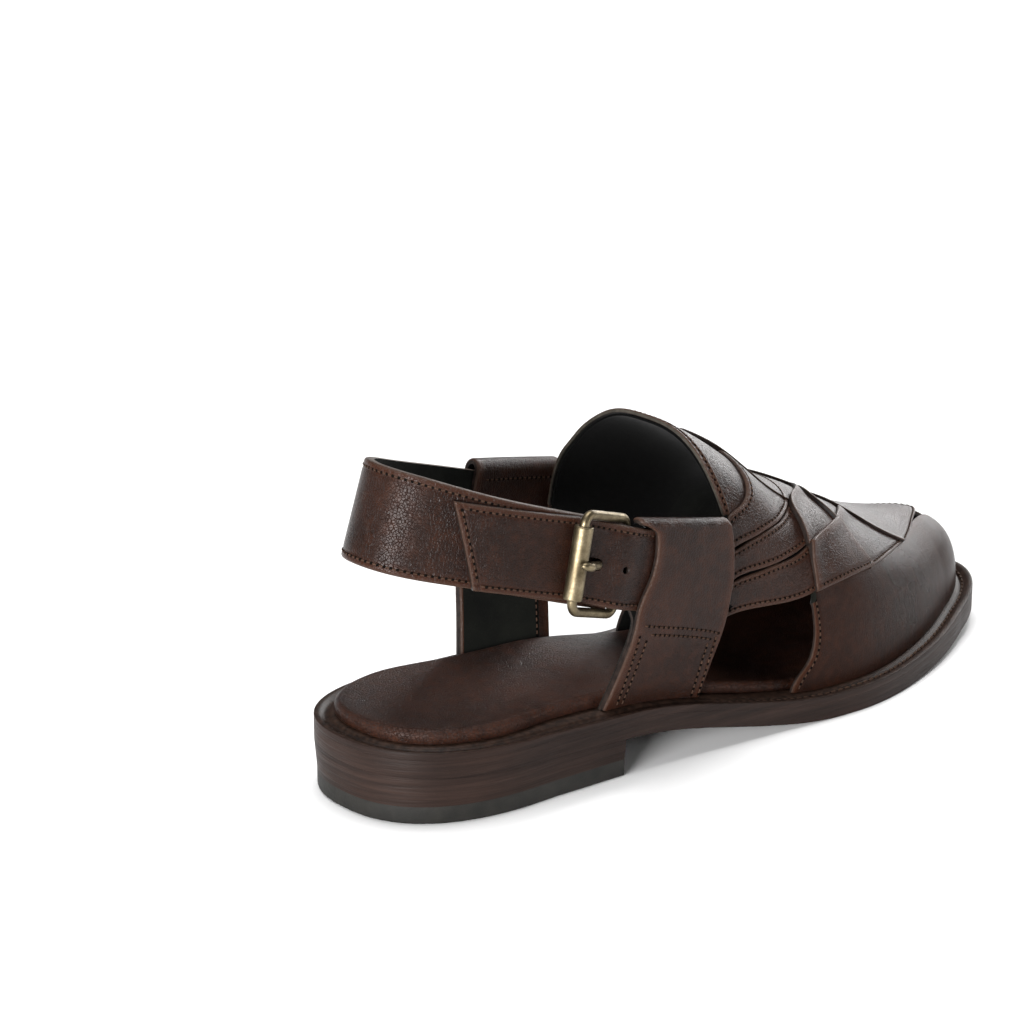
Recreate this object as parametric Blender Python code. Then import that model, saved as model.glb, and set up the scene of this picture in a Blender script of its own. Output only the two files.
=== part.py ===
"""Peshawari chappal, right shoe: a low heeled leather sandal with a plaited apron, a toe
part, two folded ears and a buckled heel strap. Metres, +X to the toe, +Y to the inner
side of the foot, +Z up, origin on the floor below the centre of the heel seat."""

import math

import bmesh
import bpy
import numpy as np

LENGTH = 0.292
BALL_WIDTH = 0.102
HEEL_WIDTH = 0.077
HEEL_SEAT = 0.040
HEEL_LENGTH = 0.086
SEAT_HEIGHT_REAR = 0.0165
SEAT_HEIGHT_FRONT = 0.0130
TOE_SPRING = 0.0068
TOE_SWING = 0.0058
TREAD_START = 0.176
TREAD_END = 0.200

TOP_LIFT = 0.0060
OUTSOLE = 0.0057
WELT = 0.0026
EDGE_BEVEL = 0.0006
HEEL_TAPER = 0.0008
GAP = 0.0003

FEATHER_INSET = 0.0062
INSOLE_HEEL_INSET = 0.0066
INSOLE_HEIGHT = 0.0046
INSOLE_ROUND = 0.0022

UPPER_WALL = 0.0022
UPPER_START = 0.385
THROAT_HEIGHT = 0.0900

EAR_LEAF = 0.0018
EAR_FOOT_INSET = 0.0062

STRAP_SLOPE = math.radians(18.6)
STRAP_REAR = -0.0284
STRAP_REAR_HEIGHT = 0.0963
STRAP_HALF_SPAN = 0.0369
STRAP_BEND = (0.110, 2.19)
STRAP_WIDTH = 0.0290
STRAP_THICKNESS = 0.0030
STRAP_INNER_END = 0.1080

TAIL_WIDTH = 0.0270
TAIL_THICKNESS = 0.0022
TAIL_TIP_TOP = 0.0152
TAIL_TIP_BOTTOM = 0.0270
TAIL_END = 0.1080
HOLE_DIAMETER = 0.0026
HOLE_PITCH = 0.0132

WIRE_DIAMETER = 0.0032
ROLLER_DIAMETER = 0.0062
ROLLER_AT = 0.0560
BAR_AT = 0.0780
BUCKLE_CLEARANCE = 0.0006
CHAPE_WIDTH = 0.0250
PRONG_DIAMETER = 0.0028
PRONG_EYE_WALL = 0.0010

# Sole plan: share of the length from the rear end, weight of the heel width against the
# ball width, then the outer and the inner half width as shares of that blended width.
OUTLINE_COLUMNS = ("along", "heel_weight", "outer", "inner")
OUTLINE = (
    (0.20, 1.00, 0.500, 0.500),
    (0.36, 0.60, 0.474, 0.428),
    (0.50, 0.25, 0.478, 0.428),
    (0.66, 0.00, 0.504, 0.510),
    (0.80, 0.00, 0.470, 0.488),
    (0.90, 0.00, 0.426, 0.424),
)
HEEL_CURVE = (0.18, 2.39)
TOE_CURVE = (0.37, 2.04)
NOSE_CURVE = (0.024, 2.5)

# Last above the welt: share of the length, ridge height as a share of the throat height,
# ridge shift to the inner side as a share of the ball width, squareness of the section.
LAST_COLUMNS = ("along", "height", "shift", "squareness")
LAST = (
    (0.36, 1.000, 0.020, 3.0),
    (0.45, 0.990, 0.020, 3.0),
    (0.52, 0.897, 0.025, 2.9),
    (0.58, 0.765, 0.030, 2.7),
    (0.66, 0.650, 0.035, 2.5),
    (0.74, 0.516, 0.045, 2.4),
    (0.82, 0.404, 0.055, 2.35),
    (0.90, 0.325, 0.060, 2.3),
    (0.98, 0.260, 0.060, 2.3),
)


def column(table, names, name):
    return np.array([row[names.index(name)] for row in table], float)


def curve_through(places, values):
    """Return a smooth function through the values: cubic pieces whose slope at each place
    is the mean of its neighbours' slopes, zero where those change sign."""
    steps = np.diff(values) / np.diff(places)
    slopes = np.concatenate(([steps[0]], (steps[:-1] + steps[1:]) / 2, [steps[-1]]))
    slopes[1:-1][steps[:-1] * steps[1:] <= 0] = 0

    def value(place):
        place = np.clip(place, places[0], places[-1])
        i = np.clip(np.searchsorted(places, place, side="right") - 1, 0, len(places) - 2)
        span = places[i + 1] - places[i]
        t = (place - places[i]) / span
        return ((1 + 2 * t) * (1 - t) ** 2 * values[i] + t * (1 - t) ** 2 * span * slopes[i]
                + t * t * (3 - 2 * t) * values[i + 1] + t * t * (t - 1) * span * slopes[i + 1])

    return value


def outline_curve(name):
    along = column(OUTLINE, OUTLINE_COLUMNS, "along")
    weight = column(OUTLINE, OUTLINE_COLUMNS, "heel_weight")
    width = HEEL_WIDTH * weight + BALL_WIDTH * (1 - weight)
    return curve_through(along, width * column(OUTLINE, OUTLINE_COLUMNS, name))


outer_half = outline_curve("outer")
inner_half = outline_curve("inner")


def last_curve(name, size):
    return curve_through(column(LAST, LAST_COLUMNS, "along"), size * column(LAST, LAST_COLUMNS, name))


ridge_height = last_curve("height", THROAT_HEIGHT)
ridge_shift = last_curve("shift", BALL_WIDTH)
squareness = last_curve("squareness", 1)


def round_end(distance, size, power):
    """Return the width factor of a rounded end: a superellipse over the end's own length."""
    fall = np.clip(1 - distance / size, 0, 1)
    return (1 - fall ** power) ** (1 / power)


def sides(count, first=0.0, last=1.0, inset=0.0):
    """Return the outer and inner edge of the sole's plan as two rows of points, closer
    together near the rounded ends, moved in along their normals by the inset."""
    low = math.acos(1 - 2 * first)
    high = math.acos(1 - 2 * last)
    along = (1 - np.cos(np.linspace(low, high, count + 1))) / 2
    ends = round_end(along, *HEEL_CURVE) * round_end(1 - along, *TOE_CURVE)
    swing = TOE_SWING * np.clip((along - HEEL_CURVE[0]) / (1 - HEEL_CURVE[0]), 0, 1) ** 2
    x = along * LENGTH - HEEL_SEAT
    edges = []
    for side, half in ((-1, outer_half), (1, inner_half)):
        edge = np.stack([x, side * half(along) * ends + swing], axis=1)
        slope = np.gradient(edge, axis=0)
        normal = np.stack([side * -slope[:, 1], side * slope[:, 0]], axis=1)
        normal /= np.linalg.norm(normal, axis=1, keepdims=True)
        if first == 0:
            normal[0] = (-1, 0)
        if last == 1:
            normal[-1] = (1, 0)
        edges.append(edge - normal * np.reshape(inset, (-1, 1)))
    return edges


def ease(share):
    share = np.clip(share, 0, 1)
    return share * share * (3 - 2 * share)


def underside(x):
    """Height of the sole's underside: over the heel, down the waist, flat, up to the toe."""
    along = x + HEEL_SEAT
    seat = SEAT_HEIGHT_REAR + (SEAT_HEIGHT_FRONT - SEAT_HEIGHT_REAR) * np.clip(along / HEEL_LENGTH, 0, 1)
    waist = 1 - ease((along - HEEL_LENGTH) / (TREAD_START - HEEL_LENGTH))
    spring = TOE_SPRING * np.clip((along - TREAD_END) / (LENGTH - TREAD_END), 0, 1) ** 1.8
    return seat * waist + spring


def welt_top(x):
    return underside(x) + OUTSOLE + GAP + WELT


def last_surface(along, around, depth=0.0):
    """Point on the last at a share of the length and a share of the way round from the
    outer to the inner feather line: each section is a superellipse from the feather line,
    FEATHER_INSET inside the sole's edge, up to the ridge. A depth gives the same surface
    that far inside."""
    along, around = np.broadcast_arrays(np.asarray(along, float), np.asarray(around, float))
    outer, inner = sides(240, inset=FEATHER_INSET + depth)
    tip = outer[-1, 0]
    back = depth * ease((along - 0.80) / (upper_tip() - 0.80))
    x = np.minimum(along * LENGTH - HEEL_SEAT - back, tip)
    low = np.interp(x, outer[:, 0], outer[:, 1])
    high = np.interp(x, inner[:, 0], inner[:, 1])
    angle = around * math.pi
    power = 2 / squareness(along)
    ridge = np.clip(ridge_shift(along), low, high)
    reach = np.abs(np.cos(angle)) ** power
    y = np.where(around < 0.5, ridge - (ridge - low) * reach, ridge + (high - ridge) * reach)
    rise = (ridge_height(along) - depth) * round_end(tip - x, *NOSE_CURVE) * np.abs(np.sin(angle)) ** power
    return np.stack([x, y, welt_top(x) + GAP + rise], axis=-1)


def upper_tip():
    return (LENGTH - FEATHER_INSET) / LENGTH


def raised(along, around, height):
    """Last surface moved out by a height along its normal, level at the feather line."""
    step = 0.0008
    ahead = last_surface(along + step, around) - last_surface(along - step, around)
    beside = (last_surface(along, np.clip(around + step, 0, 1))
              - last_surface(along, np.clip(around - step, 0, 1)))
    normal = np.cross(ahead, beside)
    normal[..., 2] = np.where((around <= 0) | (around >= 1), 0, normal[..., 2])
    at_tip = along >= upper_tip() - step
    normal = np.where(at_tip[..., None], np.array([1.0, 0.0, 0.0]), normal)
    size = np.linalg.norm(normal, axis=-1, keepdims=True)
    return last_surface(along, around) + normal / np.maximum(size, 1e-12) * height


# MODEL
# Straps and cells of the plaited apron on one side of the ridge. Each row gives its height
# above the wall and two edges, rear and front, by their start, middle and end: share of
# the length, share of the way round from the feather line (0) to the ridge (0.5).
CELL_COLUMNS = ("name", "height", "across", "rear", "front")
CELLS = (
    ("first_strap", 0.0003, False, ((0.470, 0.215), (0.516, 0.290), (0.527, 0.500)),
     ((0.475, 0.158), (0.545, 0.245), (0.640, 0.500))),
    ("ridge_strap", 0.0006, True, ((0.598, 0.360), (0.552, 0.405), (0.508, 0.500)),
     ((0.610, 0.349), (0.648, 0.438), (0.690, 0.500))),
    ("arch_cell", 0.0011, True, ((0.592, 0.232), (0.601, 0.345), (0.690, 0.500)),
     ((0.602, 0.236), (0.672, 0.335), (0.712, 0.500))),
    ("centre_cell", 0.0016, True, ((0.674, 0.326), (0.670, 0.402), (0.706, 0.500)),
     ((0.682, 0.330), (0.718, 0.397), (0.738, 0.500))),
    ("side_cell", 0.0018, False, ((0.700, 0.200), (0.684, 0.267), (0.674, 0.334)),
     ((0.813, 0.271), (0.765, 0.345), (0.724, 0.414))),
    ("rear_cell", 0.0021, False, ((0.590, 0.134), (0.592, 0.190), (0.596, 0.240)),
     ((0.706, 0.203), (0.688, 0.267), (0.679, 0.334))),
    ("front_cell", 0.0022, True, ((0.808, 0.266), (0.757, 0.345), (0.731, 0.500)),
     ((0.816, 0.270), (0.866, 0.330), (0.917, 0.500))),
)
APRON_REAR = 0.595
INNER_STRETCH = 1.42

# Openings cut right through the wall, in the same terms.
SLITS = (
    ("upper_slit", 0, False, ((0.480, 0.163), (0.530, 0.226), (0.600, 0.352)),
     ((0.482, 0.160), (0.540, 0.222), (0.606, 0.332))),
    ("lower_slit", 0, False, ((0.476, 0.111), (0.545, 0.168), (0.600, 0.236)),
     ((0.478, 0.108), (0.550, 0.163), (0.604, 0.222))),
    ("peep", 0, True, ((0.930, 0.360), (0.924, 0.430), (0.921, 0.500)),
     ((0.934, 0.360), (0.944, 0.430), (0.947, 0.500))),
)
# Lower side of the straps' fan and rear edge of the toe part, from the rear and from the
# feather line up to their corner.
FAN_EDGE = ((0.380, 0.030), (0.458, 0.060), (0.536, 0.092), (0.588, 0.129))
TOE_PART_EDGE = ((0.553, 0.000), (0.576, 0.026), (0.586, 0.078), (0.588, 0.129))
THROAT_EDGE = ((0.466, 0.195), (0.455, 0.330), (0.446, 0.480), (0.430, 0.620), (0.419, 0.800))
RIM_WIDTH = 0.012
RIM_HEIGHT = 0.0005

# Ears: share of the ear's height, then where its rear and front edge lie from the ear's
# foot as shares of its width, and how far its outer face has come out from the feather
# line to the tunnel.
EAR_COLUMNS = ("up", "rear", "front", "out")
OUTER_EAR = (
    (0.00, 0.000, 1.000, 0.00),
    (0.20, 0.105, 1.090, 0.42),
    (0.40, 0.155, 1.155, 0.96),
    (0.55, 0.220, 1.215, 1.00),
    (0.70, 0.355, 1.255, 1.00),
    (0.85, 0.405, 1.245, 1.00),
    (1.00, 0.385, 1.205, 1.00),
)
INNER_EAR = (
    (0.00, -0.160, 0.820, 0.00),
    (0.20, -0.100, 0.880, 0.45),
    (0.40, -0.040, 0.950, 0.95),
    (0.55, 0.000, 0.990, 1.00),
    (0.70, 0.000, 1.020, 1.00),
    (0.85, 0.020, 1.050, 1.00),
    (1.00, 0.080, 1.040, 1.00),
)
# Foot place and width along X, top height at the rear and front edge, tunnel floor height
# at the rear and front edge, slot width of the tunnel, and how far the middle of the band
# in the tunnel lies outside the heel strap's outer face.
EAR_SIZES = {
    "ear_outer": dict(side=-1, rows=OUTER_EAR, foot=0.0420, width=0.0400, top=(0.0872, 0.0790),
                      floor=(0.0505, 0.0390), slot=TAIL_THICKNESS + 0.0008, band=GAP + TAIL_THICKNESS / 2),
    "ear_inner": dict(side=1, rows=INNER_EAR, foot=0.0400, width=0.0400, top=(0.0915, 0.0838),
                      floor=(0.0540, 0.0420), slot=STRAP_THICKNESS + 0.0008, band=-STRAP_THICKNESS / 2),
}


def clear_scene():
    for item in list(bpy.data.objects):
        bpy.data.objects.remove(item)


def new_collection(name):
    collection = bpy.data.collections.new(name)
    bpy.context.scene.collection.children.link(collection)
    return collection


def material(name, colour, roughness, metallic=0.0):
    made = bpy.data.materials.new(name)
    made.use_nodes = True
    shader = made.node_tree.nodes["Principled BSDF"]
    shader.inputs["Base Color"].default_value = (*colour, 1)
    shader.inputs["Roughness"].default_value = roughness
    shader.inputs["Metallic"].default_value = metallic
    return made


def add_mesh(name, points, faces, collection, finish=None):
    mesh = bpy.data.meshes.new(name)
    mesh.from_pydata([tuple(point) for point in points], [], faces)
    work = bmesh.new()
    work.from_mesh(mesh)
    bmesh.ops.remove_doubles(work, verts=work.verts, dist=2e-6)
    bmesh.ops.recalc_face_normals(work, faces=work.faces)
    bmesh.ops.triangulate(work, faces=work.faces)
    work.to_mesh(mesh)
    work.free()
    if finish:
        mesh.materials.append(finish)
    mesh.shade_smooth()
    mesh.set_sharp_from_angle(angle=math.radians(35))
    made = bpy.data.objects.new(name, mesh)
    collection.objects.link(made)
    return made


def grid_faces(rows, columns, start, flip=False):
    quads = []
    for i in range(rows - 1):
        for j in range(columns - 1):
            a = start + i * columns + j
            quad = (a, a + 1, a + columns + 1, a + columns)
            quads.append(quad[::-1] if flip else quad)
    return quads


def closed_patch(top, bottom):
    """Points and faces of the closed solid between two grids of the same size."""
    rows, columns = top.shape[:2]
    size = rows * columns
    faces = grid_faces(rows, columns, 0) + grid_faces(rows, columns, size, flip=True)
    rim = [(0, j) for j in range(columns - 1)]
    rim += [(i, columns - 1) for i in range(rows - 1)]
    rim += [(rows - 1, j) for j in range(columns - 1, 0, -1)]
    rim += [(i, 0) for i in range(rows - 1, 0, -1)]
    loop = [i * columns + j for i, j in rim]
    for a, b in zip(loop, loop[1:] + loop[:1]):
        faces.append((b, a, a + size, b + size))
    return np.concatenate([top.reshape(-1, 3), bottom.reshape(-1, 3)]), faces


def cut(target, cutters, operation="DIFFERENCE"):
    for cutter in cutters:
        step = target.modifiers.new(cutter.name, "BOOLEAN")
        step.operation = operation
        step.solver = "EXACT"
        step.object = cutter
        cutter.hide_render = True
        cutter.display_type = "WIRE"


def slab(name, levels, collection, finish, count=44, last=1.0):
    """Loft through rings of the sole's plan: each level gives an inset, which may change
    along the sole, and a height function. The top and bottom are straight across."""
    rings = []
    for inset, height in levels:
        outer, inner = sides(count, 0.0, last, inset)
        ring = np.concatenate([outer, inner[-2 if last == 1 else -1:0:-1]])
        rings.append(np.column_stack([ring, height(ring[:, 0])]))
    size = len(rings[0])
    points = np.concatenate(rings)
    faces = []
    for level in range(len(rings) - 1):
        for k in range(size):
            a = level * size + k
            b = level * size + (k + 1) % size
            faces.append((a, b, b + size, a + size))
    for start in (0, (len(rings) - 1) * size):
        low, high = 0, size
        while high - low > 1:
            cap = (start + low, start + low + 1, start + (high - 1) % size, start + high % size)
            faces.append(tuple(dict.fromkeys(cap)))
            low, high = low + 1, high - 1
    return add_mesh(name, points, [face for face in faces if len(face) > 2], collection, finish)


def build_sole(parts, looks):
    heel_share = HEEL_LENGTH / LENGTH
    outsole_top = lambda x: underside(x) + OUTSOLE
    slab("outsole", [
        (EDGE_BEVEL, underside),
        (0.0, lambda x: underside(x) + EDGE_BEVEL),
        (0.0, lambda x: outsole_top(x) - EDGE_BEVEL),
        (EDGE_BEVEL, outsole_top),
    ], parts, looks["sole"])
    slab("welt", [
        (EDGE_BEVEL, lambda x: outsole_top(x) + GAP),
        (0.0, lambda x: outsole_top(x) + GAP + EDGE_BEVEL),
        (0.0, lambda x: welt_top(x) - EDGE_BEVEL),
        (EDGE_BEVEL, welt_top),
    ], parts, looks["sole"])
    lift_top = TOP_LIFT + GAP
    slab("heel_block", [
        (HEEL_TAPER, lambda x: 0 * x + lift_top),
        (EDGE_BEVEL, lambda x: underside(x) - GAP),
    ], parts, looks["sole"], count=26, last=heel_share)
    slab("heel_top_lift", [
        (HEEL_TAPER + EDGE_BEVEL, lambda x: 0 * x),
        (HEEL_TAPER, lambda x: 0 * x + EDGE_BEVEL),
        (HEEL_TAPER, lambda x: 0 * x + TOP_LIFT),
    ], parts, looks["rubber"], count=26, last=heel_share)


def build_insole(parts, looks):
    along = (1 - np.cos(np.linspace(0, math.pi, 45))) / 2
    inner_wall = EAR_FOOT_INSET + 2 * EAR_LEAF + GAP
    inset = INSOLE_HEEL_INSET + (inner_wall - INSOLE_HEEL_INSET) * ease((along - 0.12) / 0.13)
    thickness = lambda x: INSOLE_HEIGHT * (1 - 0.3 * ease((x + HEEL_SEAT - 0.10) / 0.08))
    floor = lambda x: welt_top(x) + GAP
    levels = [(inset, floor), (inset, lambda x: floor(x) + thickness(x) - INSOLE_ROUND)]
    for turn in (math.pi / 6, math.pi / 3, math.pi / 2):
        drop = INSOLE_ROUND * (1 - math.sin(turn))
        levels.append((inset + INSOLE_ROUND * (1 - math.cos(turn)),
                       lambda x, drop=drop: floor(x) + thickness(x) - drop))
    slab("insole", levels, parts, looks["lining"])


def through(start, middle, end, share):
    """Point at a share of the way on the parabola through three points."""
    share = np.asarray(share)[:, None]
    start, middle, end = (np.array(point) for point in (start, middle, end))
    return (start * (1 - share) * (1 - 2 * share) + middle * 4 * share * (1 - share)
            + end * share * (2 * share - 1))


def edge_line(points, across, steps):
    """Edge from its three points; an edge that crosses the ridge goes on as its mirror."""
    line = through(*points, np.linspace(0, 1, steps + 1))
    if not across:
        return line
    other = line[-2::-1] * (1, -1) + (0, 1)
    return np.concatenate([line, other])


def to_inner_side(line):
    """Mirror an edge over the ridge; behind the apron the inner straps reach further back."""
    line = line * (1, -1) + (0, 1)
    behind = np.minimum(line[:, 0] - APRON_REAR, 0)
    line[:, 0] += behind * (INNER_STRETCH - 1)
    return line


def patch(name, rear, front, low, high, steps, collection):
    share = np.linspace(0, 1, steps + 1)[:, None, None]
    grid = rear[None] * (1 - share) + front[None] * share
    top = raised(grid[..., 0], grid[..., 1], high)
    bottom = raised(grid[..., 0], grid[..., 1], low)
    return add_mesh(name, *closed_patch(top, bottom), collection)


def row_patches(row, low, high, steps, collection):
    name, _, across, rear, front = row
    rear = edge_line(rear, across, 6)
    front = edge_line(front, across, 6)
    made = [patch(name, rear, front, low, high, steps, collection)]
    if not across:
        made.append(patch(name + "_inner", to_inner_side(rear), to_inner_side(front),
                          low, high + 0.00004, steps, collection))
    return made


def ear_outline(size, front_extra=0.0):
    """Heights, edges and outward shares of an ear's rows as arrays."""
    rows = size["rows"]
    up = column(rows, EAR_COLUMNS, "up")
    rear = size["foot"] + size["width"] * column(rows, EAR_COLUMNS, "rear")
    front = size["foot"] + size["width"] * column(rows, EAR_COLUMNS, "front") + front_extra
    return up, rear, front, column(rows, EAR_COLUMNS, "out")


def ear_chain(size, share):
    """Outer contour and tunnel contour of an ear's section at a share of its width: up the
    outer leaf, over the fold, down the inner leaf; the leaves are joined below the tunnel."""
    up, rear, front, out = ear_outline(size)
    top = size["top"][0] + (size["top"][1] - size["top"][0]) * share
    floor = size["floor"][0] + (size["floor"][1] - size["floor"][0]) * share
    foot_x = rear[0] + (front[0] - rear[0]) * share
    foot = welt_top(foot_x) + GAP
    edges = sides(240, inset=EAR_FOOT_INSET)[0 if size["side"] < 0 else 1]
    feather = abs(np.interp(foot_x, edges[:, 0], edges[:, 1]))
    fold = size["slot"] / 2 + EAR_LEAF
    low_steps = np.linspace(0, 1, 5)[:-1]
    heights = np.concatenate([foot + (floor - foot) * low_steps, [floor],
                              np.linspace(floor + 0.003, top - fold, 4)])
    share_up = np.clip((heights - foot) / (top - foot), 0, 1)
    back = np.interp(share_up, up, rear)
    x = back + (np.interp(share_up, up, front) - back) * share
    tunnel_face = strap_half(strap_place(x, heights)) + size["band"] + fold
    face = feather + (tunnel_face - feather) * np.interp(share_up, up, out)
    thickness = 2 * EAR_LEAF + size["slot"] * np.clip((heights - floor) / 0.005 + 0.4, 0, 1)
    thickness[:len(low_steps)] = 2 * EAR_LEAF
    middle = face - thickness / 2
    turns = np.linspace(0, math.pi, 7)[1:-1]
    arc = np.stack([middle[-1] + thickness[-1] / 2 * np.cos(turns),
                    heights[-1] + fold * np.sin(turns)], axis=1)
    contour = np.concatenate([np.stack([face, heights], axis=1), arc,
                              np.stack([face - thickness, heights], axis=1)[::-1]])
    first = len(low_steps)
    slot = np.maximum(thickness[first:] / 2 - EAR_LEAF, 0)
    hole = np.concatenate([
        np.stack([middle[first:] + slot, heights[first:]], axis=1),
        np.stack([middle[-1] + slot[-1] * np.cos(turns),
                  heights[-1] + (fold - EAR_LEAF) * np.sin(turns)], axis=1),
        np.stack([middle[first:] - slot, heights[first:]], axis=1)[::-1]])
    hole[0] = hole[-1] = (middle[first], heights[first] + 0.0002)

    def place(line):
        share_of_height = np.clip((line[:, 1] - foot) / (top - foot), 0, 1)
        back = np.interp(share_of_height, up, rear)
        ahead = np.interp(share_of_height, up, front)
        return np.stack([back + (ahead - back) * share, size["side"] * line[:, 0], line[:, 1]], axis=1)

    return place(contour), place(hole), first


def build_ear(name, size, parts, looks):
    sections = [ear_chain(size, share) for share in np.linspace(0, 1, 8)]
    first = sections[0][2]
    m = len(sections[0][0])
    h = len(sections[0][1]) - 1
    points, faces = [], []
    for contour, hole, _ in sections:
        points.extend(contour)
        points.extend(hole[:-1])
    stride = m + h
    for s in range(len(sections) - 1):
        base = s * stride
        for k in range(m):
            a, b = base + k, base + (k + 1) % m
            faces.append((a, b, b + stride, a + stride))
        for k in range(h):
            a, b = base + m + k, base + m + (k + 1) % h
            faces.append((b, a, a + stride, b + stride))
    for s in (0, len(sections) - 1):
        base = s * stride
        for k in range(first):
            faces.append((base + k, base + k + 1, base + m - 2 - k, base + m - 1 - k))
        for k in range(h):
            outer_a, outer_b = base + first + k, base + first + k + 1
            faces.append((outer_a, outer_b, base + m + (k + 1) % h, base + m + k))
        faces.append((base + first, base + m, base + m - 1 - first))
    return add_mesh(name, points, faces, parts, looks["upper"])


def ear_clearance(name, size, collection):
    """Cutter that clears the upper from an ear: the ear's own edges, thick and grown by a
    gap at the front, from below the welt to above the fold."""
    up, rear, front, _ = ear_outline(size, GAP)
    foot = welt_top(front[0]) + GAP
    heights = foot + (size["top"][1] - foot) * up
    heights = np.concatenate([[0], heights, [heights[-1] + 0.03]])
    rear = np.concatenate([rear[:1], rear, rear[-1:]])
    front = np.concatenate([front[:1], front, front[-1:]])
    wide = np.array([STRAP_HALF_SPAN - 0.016, STRAP_HALF_SPAN + 0.016]) * size["side"]
    sheets = []
    for y in wide:
        sheets.append(np.stack([
            np.stack([rear - 0.02, 0 * rear + y, heights], axis=1),
            np.stack([front, 0 * front + y, heights], axis=1)]))
    return add_mesh(name, *closed_patch(*sheets), collection)


def build_upper(parts, cutters, looks):
    along = UPPER_START + (upper_tip() - UPPER_START) * np.sin(np.linspace(0, math.pi / 2, 34))
    around = np.linspace(0, 1, 29)
    grid = np.meshgrid(along, around, indexing="ij")
    outer = last_surface(*grid)
    inner = last_surface(*grid, UPPER_WALL)
    upper = add_mesh("upper", *closed_patch(outer, inner), parts, looks["upper"])
    removers = []
    for row in SLITS:
        removers += row_patches(row, -3 * UPPER_WALL, 3 * UPPER_WALL, 1, cutters)
    for side in (0, 1):
        fan = np.array(FAN_EDGE)
        toe = np.array(TOE_PART_EDGE)
        rear = np.stack([np.full(4, FAN_EDGE[0][0] - 0.02), np.linspace(0, FAN_EDGE[0][1], 4)], axis=1)
        share = np.linspace(0, 1, 9)
        foot = np.stack([np.interp(share, (0, 1), (rear[0, 0], toe[0, 0])), 0 * share], axis=1)
        fan_along = np.interp(share, np.linspace(0, 1, 4), fan[:, 0])
        fan_line = np.stack([fan_along, np.interp(fan_along, fan[:, 0], fan[:, 1])], axis=1)
        levels = np.linspace(0, 1, 7)
        rows = []
        for level in levels:
            line = foot * (1 - level) + fan_line * level
            corner = np.array([np.interp(level * toe[-1, 1], toe[:, 1], toe[:, 0]), level * toe[-1, 1]])
            line = line + np.linspace(0, 1, 9)[:, None] * (corner - line[-1])
            rows.append(line)
        sheet = np.array(rows)
        if side:
            sheet = sheet * (1, -1) + (0, 1)
            sheet[..., 0] += np.minimum(sheet[..., 0] - APRON_REAR, 0) * 0.02
        top = raised(sheet[..., 0], sheet[..., 1], 3 * UPPER_WALL)
        bottom = raised(sheet[..., 0], sheet[..., 1], -3 * UPPER_WALL)
        top[0, :, 2] -= 0.004
        bottom[0, :, 2] -= 0.004
        removers.append(add_mesh("side_opening_%d" % side, *closed_patch(top, bottom), cutters))
    throat = np.array(THROAT_EDGE)
    turns = np.linspace(throat[0, 1], throat[-1, 1], 17)
    rim = np.stack([curve_through(throat[:, 1], throat[:, 0])(turns), turns], axis=1)
    behind = np.stack([0 * turns + UPPER_START - 0.02, turns], axis=1)
    removers.append(patch("throat", behind, rim, -3 * UPPER_WALL, 3 * UPPER_WALL, 2, cutters))
    for name, size in EAR_SIZES.items():
        removers.append(ear_clearance(name + "_clearance", size, cutters))
    band = patch("rim_band", rim + (0.0004, 0), rim + (RIM_WIDTH, 0), -UPPER_WALL / 2, RIM_HEIGHT, 1, cutters)
    cells = [band]
    for row in CELLS:
        cells += row_patches(row, -UPPER_WALL / 2, row[1], 4, cutters)
    cut(upper, removers)
    cut(upper, cells, "UNION")
    for name, size in EAR_SIZES.items():
        cut(upper, [bpy.data.objects[name + "_clearance"]])
    return upper


def strap_point(p, y, w):
    """World place of a point on the strap's own inclined plane: forward, sideways, up."""
    slope = STRAP_SLOPE
    return np.stack([STRAP_REAR + p * math.cos(slope) + w * math.sin(slope), y + 0 * p,
                     STRAP_REAR_HEIGHT - p * math.sin(slope) + w * math.cos(slope)], axis=-1)


def strap_place(x, z):
    """How far forward on the strap's plane a point at this x and height lies."""
    return (x - STRAP_REAR) * math.cos(STRAP_SLOPE) - (z - STRAP_REAR_HEIGHT) * math.sin(STRAP_SLOPE)


def strap_half(p):
    """Half width of the strap's outer face: a flattened ring round the heel, then straight."""
    length, power = STRAP_BEND
    return STRAP_HALF_SPAN * (1 - np.clip(1 - p / length, 0, 1) ** power) ** (1 / power)


def bend_line(places, offset, side):
    """The strap's outer face seen along its width, moved outwards by the offset."""
    step = 1e-5
    slope = (strap_half(places + step) - strap_half(np.maximum(places - step, 0))) / (2 * step)
    slope = np.where(places < step, 1e6, slope)
    normal = np.stack([-slope, np.ones_like(slope)], axis=1)
    normal /= np.linalg.norm(normal, axis=1, keepdims=True)
    line = np.stack([places, strap_half(places)], axis=1) + normal * np.reshape(offset, (-1, 1))
    return line * (1, side)


def band_solid(name, outer, inner, low, high, collection, finish):
    """Solid band between two plan lines; low and high are its width's edges at each point."""
    top = np.stack([strap_point(outer[:, 0], outer[:, 1], low), strap_point(outer[:, 0], outer[:, 1], high)])
    bottom = np.stack([strap_point(inner[:, 0], inner[:, 1], low), strap_point(inner[:, 0], inner[:, 1], high)])
    return add_mesh(name, *closed_patch(top, bottom), collection, finish)


def strap_box(name, low, high, collection):
    """Box cutter in the strap's own directions: forward, sideways, up."""
    corners = [strap_point(np.float64(p), y, w) for p in (low[0], high[0])
               for y in (low[1], high[1]) for w in (low[2], high[2])]
    faces = [(0, 1, 3, 2), (4, 6, 7, 5), (0, 4, 5, 1), (2, 3, 7, 6), (0, 2, 6, 4), (1, 5, 7, 3)]
    return add_mesh(name, corners, faces, collection)


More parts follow.
